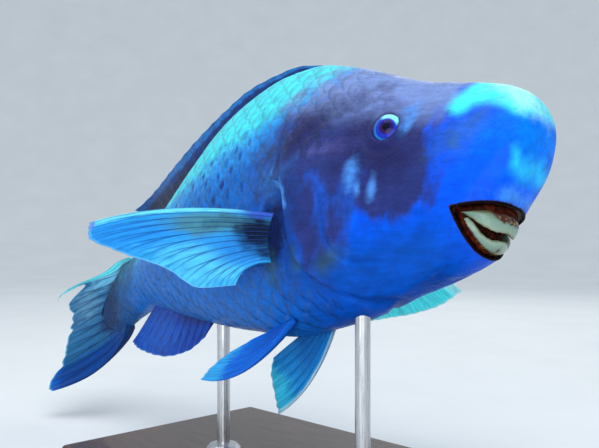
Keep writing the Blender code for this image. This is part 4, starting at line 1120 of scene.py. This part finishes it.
def eye_finish():
    """Rings of colour round the pupil, a rust tint below and a pale crescent above."""
    f = Finish("eye_rings", .16, .12, coat_weight=.08, coat_roughness=.03)
    away, upward = f.attribute("away"), f.attribute("upward")
    rings = f.ramp(away + (f.noise(900, 4) - .5) * .12, [
        (0, (.001, .001, .006)), (.24, (.002, .002, .02)), (.30, rgb(24, 22, 110)), (.40, rgb(24, 12, 70)),
        (.50, rgb(40, 36, 160)), (.60, rgb(26, 56, 190)), (.70, rgb(14, 44, 160)), (.78, rgb(24, 96, 196)),
        (.85, rgb(40, 124, 208)), (.90, rgb(14, 70, 160)), (.96, rgb(24, 34, 90))])
    rust = f.step(away, .24, .32) * f.step(away, .46, .38) * f.step(upward, .1, -.5)
    crescent = f.step(away, .56, .68) * f.step(away, .97, .90) * f.step(upward, .36, .84)
    return f.made(f.over(crescent, f.over(rust * .5, rings, rgb(70, 30, 44)), rgb(130, 236, 240)))


GAZE_AHEAD, GAZE_DOWN = .11, .10
EYE_RINGS, EYE_LINES, POLE_GAP = 90, 96, .004


def eye(name, node, left):
    """Ball whose front is flattened a little round the pupil, as rings from pole to pole."""
    centre, axis = eye_frame(left)
    turned = frame_on(axis)
    polar = np.linspace(POLE_GAP, math.pi - POLE_GAP, EYE_RINGS)[:, None]
    round_it = np.linspace(0, 2 * math.pi, EYE_LINES, endpoint=False)
    radius = EYE_RADIUS * (1 - .012 * np.exp(-((np.sin(polar) * EYE_RADIUS / EYE_SHOWS - .62) / .1) ** 2))
    out = radius * np.sin(polar)
    local = np.stack(np.broadcast_arrays(out * np.cos(round_it), out * np.sin(round_it),
                                         radius * np.cos(polar)), -1)
    gaze = np.array([left * GAZE_AHEAD, -GAZE_DOWN, 1])
    gaze /= np.linalg.norm(gaze)
    facing = local @ gaze / np.linalg.norm(local, axis=-1)
    away = np.sqrt(np.clip(1 - facing ** 2, 0, 1)) * EYE_RADIUS / EYE_SHOWS * 1.04
    away = away + np.where(facing < 0, 2, 0)
    upward = np.broadcast_to(np.sin(round_it + .65 * left), away.shape)
    closed_tube(name, place(centre + local @ turned.T), eye_material, [node],
                {"away": away, "upward": upward})


eye_material = eye_finish()
eye("eyeball_left", "eye_left", 1)
eye("eyeball_right", "eye_right", -1)
print("eye shows", round(2 * EYE_SHOWS * FISH * 1000, 1), "mm across")

# %% [markdown]
# ## Lips
# Dark fleshy lips frame the beak. They are a tube along the closed line where the two planes of the
# mouth meet the skin, slimmer at the chin and finely creased across. A piece of their own gives them
# their own finish and hides where the skin turns in.

# %% Lips
LIP_RADIUS, CHIN_LIP_RADIUS, LIP_INSET = .0017, .0015, .0003


def lip_line(count):
    """Closed line of both lips on the skin, upper lip first."""
    turn = np.linspace(-math.pi / 2, math.pi / 2, count)
    bow, sway = np.cos(turn), np.sign(np.round(turn, 6))
    s = MOUTH_CORNER - (MOUTH_CORNER - LIP_FRONT) * bow
    level = np.full_like(s, LIP_LEVEL)
    upper = np.stack([s + LIP_INSET * bow, (side(s, level) - LIP_INSET) * sway, level], -1)
    z = LIP_LEVEL + (CHIN_EDGE[1] - LIP_LEVEL) * bow
    breadth = side(lip_plane(z), z) - LIP_INSET
    lower = np.stack([lip_plane(z), breadth * sway, z + LIP_INSET * bow], -1)
    return np.concatenate([upper, lower[-2:0:-1]])


def gum_finish(name, dark, red, amount):
    """Dark flesh with red patches and a few pale specks of growth."""
    f = Finish(name, .5, .05)
    colour = f.over(f.step(f.noise(170, 5, .6), .40, .66, 0, amount), dark, red)
    colour = f.over(f.step(f.noise(420), .66, .74, 0, .5), colour, rgb(120, 100, 60))
    return f.made(colour, (f.noise(500, 4), .0009))


def smooth_ring(values, passes):
    """Running mean of its two neighbours round a closed line, several times."""
    for _ in range(passes):
        values = (values + np.roll(values, 1, 0) + np.roll(values, -1, 0)) / 3
    return values


lip_material = gum_finish("lip_skin", rgb(4, 2, 4), rgb(30, 8, 6), .8)
gum_material = gum_finish("gum", rgb(30, 8, 2), rgb(84, 24, 8), .9)
line = smooth_ring(lip_line(161), 3)
slim = smooth((LIP_LEVEL - .012 - line[:, 2]) / .025)
thick = LIP_RADIUS + (CHIN_LIP_RADIUS - LIP_RADIUS) * slim
along = np.roll(line, -1, 0) - np.roll(line, 1, 0)
along /= np.linalg.norm(along, axis=1, keepdims=True)
outward = line - line.mean(0)
outward -= (outward * along).sum(1, keepdims=True) * along
outward /= np.linalg.norm(outward, axis=1, keepdims=True)
aside = np.cross(along, outward)
LIP_LINES = 20
turn = np.linspace(0, 2 * math.pi, LIP_LINES, endpoint=False)
creases = 1 + .03 * np.sin(np.arange(len(line)) * 1.9)[:, None] * (np.cos(turn) > -.5)
radius = thick[:, None] * creases
rings = line[:, None] + radius[..., None] * (np.cos(turn)[None, :, None] * outward[:, None]
                                            + np.sin(turn)[None, :, None] * aside[:, None])
faces = grid_faces(len(line) + 1, LIP_LINES, wrap=True) % (len(line) * LIP_LINES)
mesh_piece("lips", place(rings).reshape(-1, 3), [faces], lip_material, ["head"])

# %% [markdown]
# ## Gums and beak
# A parrotfish's teeth are fused into two cupped plates that scrape coral, so separate teeth would be
# wrong. Each plate is a profile swept round the jaw: thick at the gum, bulging, with a fine toothed
# edge and a groove down the middle where the halves join. The gums are dark pads between lips and
# plates.

# %% Gums and beak
GUM_DEPTH, GUM_RISE, GUM_SIDE_RISE = .0078, .0065, .0025
BEAK_CENTRE, BEAK_RADIUS = .100, .0430
MIDDLE_GROOVE = 1.6         # half width in degrees of the groove where the halves join
TEETH = 15                  # half waves of the toothed edge for each radian
UPPER_REACH, LOWER_REACH = 82, 70
UPPER_EDGE = ((0, -.1050), (24, -.1060), (44, -.1018), (56, -.0965), (66, -.0908), (75, -.0866), (84, -.0838))
UPPER_PROFILE = ((-.0015, 0), (.0004, .3), (-.0016, .6), (-.0050, .9), (-.0068, 1), (-.0090, .92),
                 (-.0110, .4), (-.0120, 0))
LOWER_DOWN, LOWER_SIDE = .0482, .0440
LOWER_EDGE = ((0, .0270), (8, .0250), (20, .0185), (40, .0145), (54, .0130), (64, .0108), (72, .0080))
LOWER_PROFILE = ((0, 0), (.0010, .3), (-.0018, .9), (-.0036, 1), (-.0062, .9), (-.0090, .4), (-.0105, 0))


def lower_axes():
    """Unit directions down along the lower lip's plane, and out of the mouth."""
    down = np.array([CHIN_EDGE[0] - MOUTH_CORNER, 0, CHIN_EDGE[1] - LIP_LEVEL])
    down /= np.linalg.norm(down)
    return down, np.array([down[2], 0, -down[0]])


def lower_round(angle, grow):
    """Point of the lower jaw's oval, angle 0 at the chin, measured from the mouth's corner line."""
    down, _ = lower_axes()
    angle = np.asarray(angle, float)[..., None]
    grow = np.asarray(grow, float)[..., None]
    return (np.array([MOUTH_CORNER, 0, LIP_LEVEL]) + down * (LOWER_DOWN + grow) * np.cos(angle)
            + np.array([0, 1, 0]) * (LOWER_SIDE + grow) * np.sin(angle))


def tooth_rows(degrees, share):
    """Rows of small tooth tips on the outer face, each row set between the teeth of the last."""
    row = np.floor(share * 5)
    bumps = np.abs(np.sin(np.radians(degrees) * TEETH + row * math.pi / 2)) ** .6
    return .00045 * bumps * (.3 + .7 * share)


def plate_profile(profile, count):
    """Finer points along a plate's profile, and how far each is towards the cutting edge."""
    dense = spread(profile, count)
    outer = (np.arange(count) / (count - 1) < .55) * 1.0
    return dense[:, 0], np.clip(dense[:, 1], 0, 1), outer


def beak_finish():
    """Pale green plates, stained, with growth where the field gummy is above 0."""
    f = Finish("beak", .30, .35, coat_weight=.3, subsurface_weight=.05)
    wander = (f.noise(110, 5, .6) - .5) * .40
    colour = f.ramp(f.attribute("edge") + wander, [
        (0, rgb(66, 42, 22)), (.14, rgb(104, 106, 74)), (.34, rgb(108, 136, 120)), (.60, rgb(120, 152, 138)),
        (.90, rgb(136, 160, 142)), (1, rgb(116, 118, 90))])
    colour = f.over(f.step(f.noise(190, 5, .7), .62, .74, 0, .35), colour, rgb(110, 108, 66))
    growth = f.over(f.step(f.noise(330), .56, .64), rgb(62, 10, 4), rgb(134, 114, 56))
    colour = f.over(f.step(f.attribute("gummy") + wander * 3.0, -.1, .2), colour, growth)
    return f.made(colour, (f.noise(260, 4), .0005))


beak_material = beak_finish()
COLUMNS, PROFILE_POINTS, PLATE_SUNK = 181, 46, .002
degrees = np.linspace(-UPPER_REACH, UPPER_REACH, COLUMNS)[:, None]
grow, share, outer = plate_profile(UPPER_PROFILE, PROFILE_POINTS)
a = np.radians(degrees)
groove = -.0016 * np.exp(-(degrees / MIDDLE_GROOVE) ** 2)
top = LIP_LEVEL - GUM_DEPTH + PLATE_SUNK
low = curve(UPPER_EDGE, np.abs(degrees)) + .0005 * np.abs(np.sin(a * TEETH)) - groove * .5
radial = BEAK_RADIUS + grow + outer * (tooth_rows(degrees, share) + groove)
rings = np.stack([BEAK_CENTRE - radial * np.cos(a), radial * np.sin(a), top + (low - top) * share], -1)
gummy = np.where(outer > 0, 1 - np.hypot(degrees / 42, (share - .05) / .56), -1)
closed_tube("beak_plate_upper", place(rings), beak_material, ["beak_upper"],
            {"edge": share + 0 * a, "gummy": gummy})
degrees = np.linspace(-LOWER_REACH, LOWER_REACH, COLUMNS)[:, None]
grow, share, outer = plate_profile(LOWER_PROFILE, PROFILE_POINTS)
a = np.radians(degrees)
notch = np.exp(-(degrees / MIDDLE_GROOVE) ** 2)
_, out = lower_axes()
foot = GUM_RISE + GUM_SIDE_RISE * np.sin(a) ** 2 - PLATE_SUNK
far = curve(LOWER_EDGE, np.abs(degrees)) - .0005 * np.abs(np.sin(a * TEETH)) - .001 * notch
swell = grow + outer * (tooth_rows(degrees, share) - .0014 * notch)
rings = lower_round(a, swell) + out * (foot + (far - GUM_RISE + PLATE_SUNK) * share)[..., None]
closed_tube("beak_plate_lower", place(rings), beak_material, ["beak_lower"],
            {"edge": share + 0 * a, "gummy": outer * (.42 - share) / .3 * np.abs(np.sin(a))})

# %% Gum pads
GUM_COLUMNS = 90
turn = np.linspace(-math.pi / 2, math.pi / 2, GUM_COLUMNS)
ripple = 1 + .012 * np.sin(turn * 31)
shells = []
for shrink, drop in ((0, -.0005), (0, .45), (.0012, .85), (.0045, 1.0), (.012, .9), (.020, .6)):
    r = (BEAK_RADIUS - shrink) * ripple
    level = np.full_like(turn, LIP_LEVEL - GUM_DEPTH * drop)
    shells.append(np.stack([BEAK_CENTRE - r * np.cos(turn), r * np.sin(turn), level], -1))
closed_tube("gum_pad_upper", place(np.array(shells)), gum_material, ["gum_upper"])
shells = []
for grow, rise in ((0, -.0005), (0, .5), (-.0012, .85), (-.0035, 1.0), (-.0125, .95), (-.0135, 1.6),
                   (-.016, 2.1), (-.022, 2.5), (-.032, 2.6)):
    high = (GUM_RISE + GUM_SIDE_RISE * np.sin(turn) ** 2) * rise
    shells.append(lower_round(turn, grow + .0008 * np.sin(turn * 27)) + out * high[:, None])
closed_tube("gum_pad_lower", place(np.array(shells)), gum_material, ["gum_lower"])

# %% [markdown]
# ## Nostrils
# Two small openings lie ahead of each eye. Each is a short rim round a dark pit: a ring turned about
# the skin's own normal. A dark spot of paint would look flat from the side.

# %% Nostrils
NOSTRILS = ((.118, .034, .0030), (.101, .044, .0024))       # s, z and size of each
NOSTRIL_RINGS, NOSTRIL_LINES = 22, 32


def nostril(name, s, z, size, left):
    """Turned profile: a low wall outside, a rounded rim and a pit that goes in."""
    y = float(side(s, z))
    small = .002
    ahead = np.array([2 * small, left * float(side(s + small, z) - side(s - small, z)), 0])
    upward = np.array([0, left * float(side(s, z + small) - side(s, z - small)), 2 * small])
    axis = np.cross(ahead, upward)
    axis *= np.sign(axis[1] * left) / np.linalg.norm(axis)
    turned = frame_on(axis)
    profile = ((-.0020, 2.0), (-.0004, 1.75), (.0006, 1.35), (.0009, 1.05), (.0004, .8), (-.0010, .62),
               (-.0030, .5))
    high, wide = spread(profile, NOSTRIL_RINGS).T[..., None]
    round_it = np.linspace(0, 2 * math.pi, NOSTRIL_LINES, endpoint=False)
    stretch = 1 + .25 * np.cos(round_it) ** 2
    local = np.stack(np.broadcast_arrays(size * wide * np.cos(round_it),
                                         size * wide * np.sin(round_it) * stretch, high), -1)
    flat = np.array([s, left * y, z]) + local @ turned.T
    inside = np.broadcast_to(smooth((np.arange(NOSTRIL_RINGS) - 13) / 4)[:, None], flat.shape[:2])
    fields = {**markings(flat), "inside": inside, "fore": flat[..., 0]}
    closed_tube(name, place(flat), skin_material, ["head"], fields)


for left, word in ((1, "left"), (-1, "right")):
    for number, (s, z, size) in enumerate(NOSTRILS):
        nostril(f"nostril_{word}_{number + 1}", s, z, size, left)

# %% [markdown]
# ## The stand
# The base and the rods are the solids themselves, as their shapes are already right. They only need a
# finish: dark stained wood with grain along the base, and brushed steel.

# %% Stand finishes


def wood_finish():
    """Dark stain over a grain that runs along the base."""
    f = Finish("stained_wood", .38, coat_weight=.35)
    grain, fine = f.noise(30, 6, .6, (1.2, 14, 14)), f.noise(120, 4, .6, (1, 18, 18))
    colour = f.ramp(grain, [(.30, rgb(38, 24, 18)), (.52, rgb(70, 44, 30)), (.72, rgb(96, 62, 40))])
    colour = f.over(f.step(fine, .55, .75, 0, .5), colour, rgb(26, 16, 12))
    return f.made(colour, (fine, .0004), (grain, .0004))


def steel_finish():
    """Fine lines along the rods."""
    f = Finish("brushed_steel", .28, metallic=1.0)
    lines = f.noise(900, 3, .6, (1, 1, .05))
    f.set("Roughness", f.step(lines, .3, .7, .22, .40))
    return f.made(f.ramp(lines, [(.3, (.42, .43, .45)), (.7, (.66, .67, .69))]), (lines, .0001))


steel = steel_finish()
for node, material in (("stand_base", wood_finish()), ("stand_rod_front", steel), ("stand_rod_rear", steel)):
    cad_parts[node].data.materials.clear()
    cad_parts[node].data.materials.append(material)
    print(node, "gets", material.name)

# %% [markdown]
# ## Studio
# A pale floor runs up into a pale wall all round, so the colours of the fish aren't tinted. A broad
# light overhead gives the bright back, one by the camera fills the side, and one behind draws a thin
# rim.

# %% Studio
FLOOR_FLAT, FLOOR_WIDE = 2.6, 6.0
WALL_HIGH, FLOOR_BELOW, FLOOR_SIDES = 4.0, .0005, 96
rise = np.linspace(.08, math.pi / 2, 24)
rings_out = np.concatenate([[.02], np.linspace(.4, FLOOR_FLAT, 6),
                            FLOOR_FLAT + (FLOOR_WIDE - FLOOR_FLAT) * np.sin(rise)])
heights = np.concatenate([np.zeros(7), WALL_HIGH * (1 - np.cos(rise))])
turn = np.linspace(0, 2 * math.pi, FLOOR_SIDES, endpoint=False)
bowl = np.stack([rings_out[:, None] * np.cos(turn), rings_out[:, None] * np.sin(turn),
                 heights[:, None] - FLOOR_BELOW + 0 * turn], -1)
floor_finish = Finish("pale_floor", .75)
floor_colour = floor_finish.ramp(floor_finish.noise(6, 4), [(.3, (.74, .77, .79)), (.7, (.78, .81, .83))])
floor = bpy.data.meshes.new("floor")
cells = grid_faces(len(rings_out), FLOOR_SIDES, wrap=True)
floor.from_pydata(bowl.reshape(-1, 3).tolist(), [], cells.tolist() + [list(range(FLOOR_SIDES))])
floor.materials.append(floor_finish.made(floor_colour))
floor.shade_smooth()
floor_piece = bpy.data.objects.new("floor", floor)
bpy.context.scene.collection.objects.link(floor_piece)
floor_piece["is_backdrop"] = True


def soft_light(name, at, size, power):
    """Square area light that faces the fish."""
    light = bpy.data.lights.new(name, "AREA")
    light.size = size
    light.energy = power
    lamp = bpy.data.objects.new(name, light)
    lamp.location = at
    lamp.rotation_euler = (Vector((0, 0, .22)) - Vector(at)).to_track_quat("-Z", "Y").to_euler()
    bpy.context.scene.collection.objects.link(lamp)


soft_light("overhead", (.10, -.25, 1.9), 1.5, 15)
soft_light("fill", (1.1, -1.7, .35), 1.5, 24)
soft_light("rim", (-.6, 1.5, 1.1), .9, 4)
world = bpy.data.worlds.new("studio")
bpy.context.scene.world = world
world.use_nodes = True
world.node_tree.nodes["Background"].inputs[0].default_value = (.88, .94, 1, 1)
world.node_tree.nodes["Background"].inputs[1].default_value = .80
bpy.context.scene.view_settings.view_transform = "Standard"
print("lights overhead, by the camera and behind")

# %% Size and finish
low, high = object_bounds()
print("visual", [round(b - a, 4) for a, b in zip(low, high)])
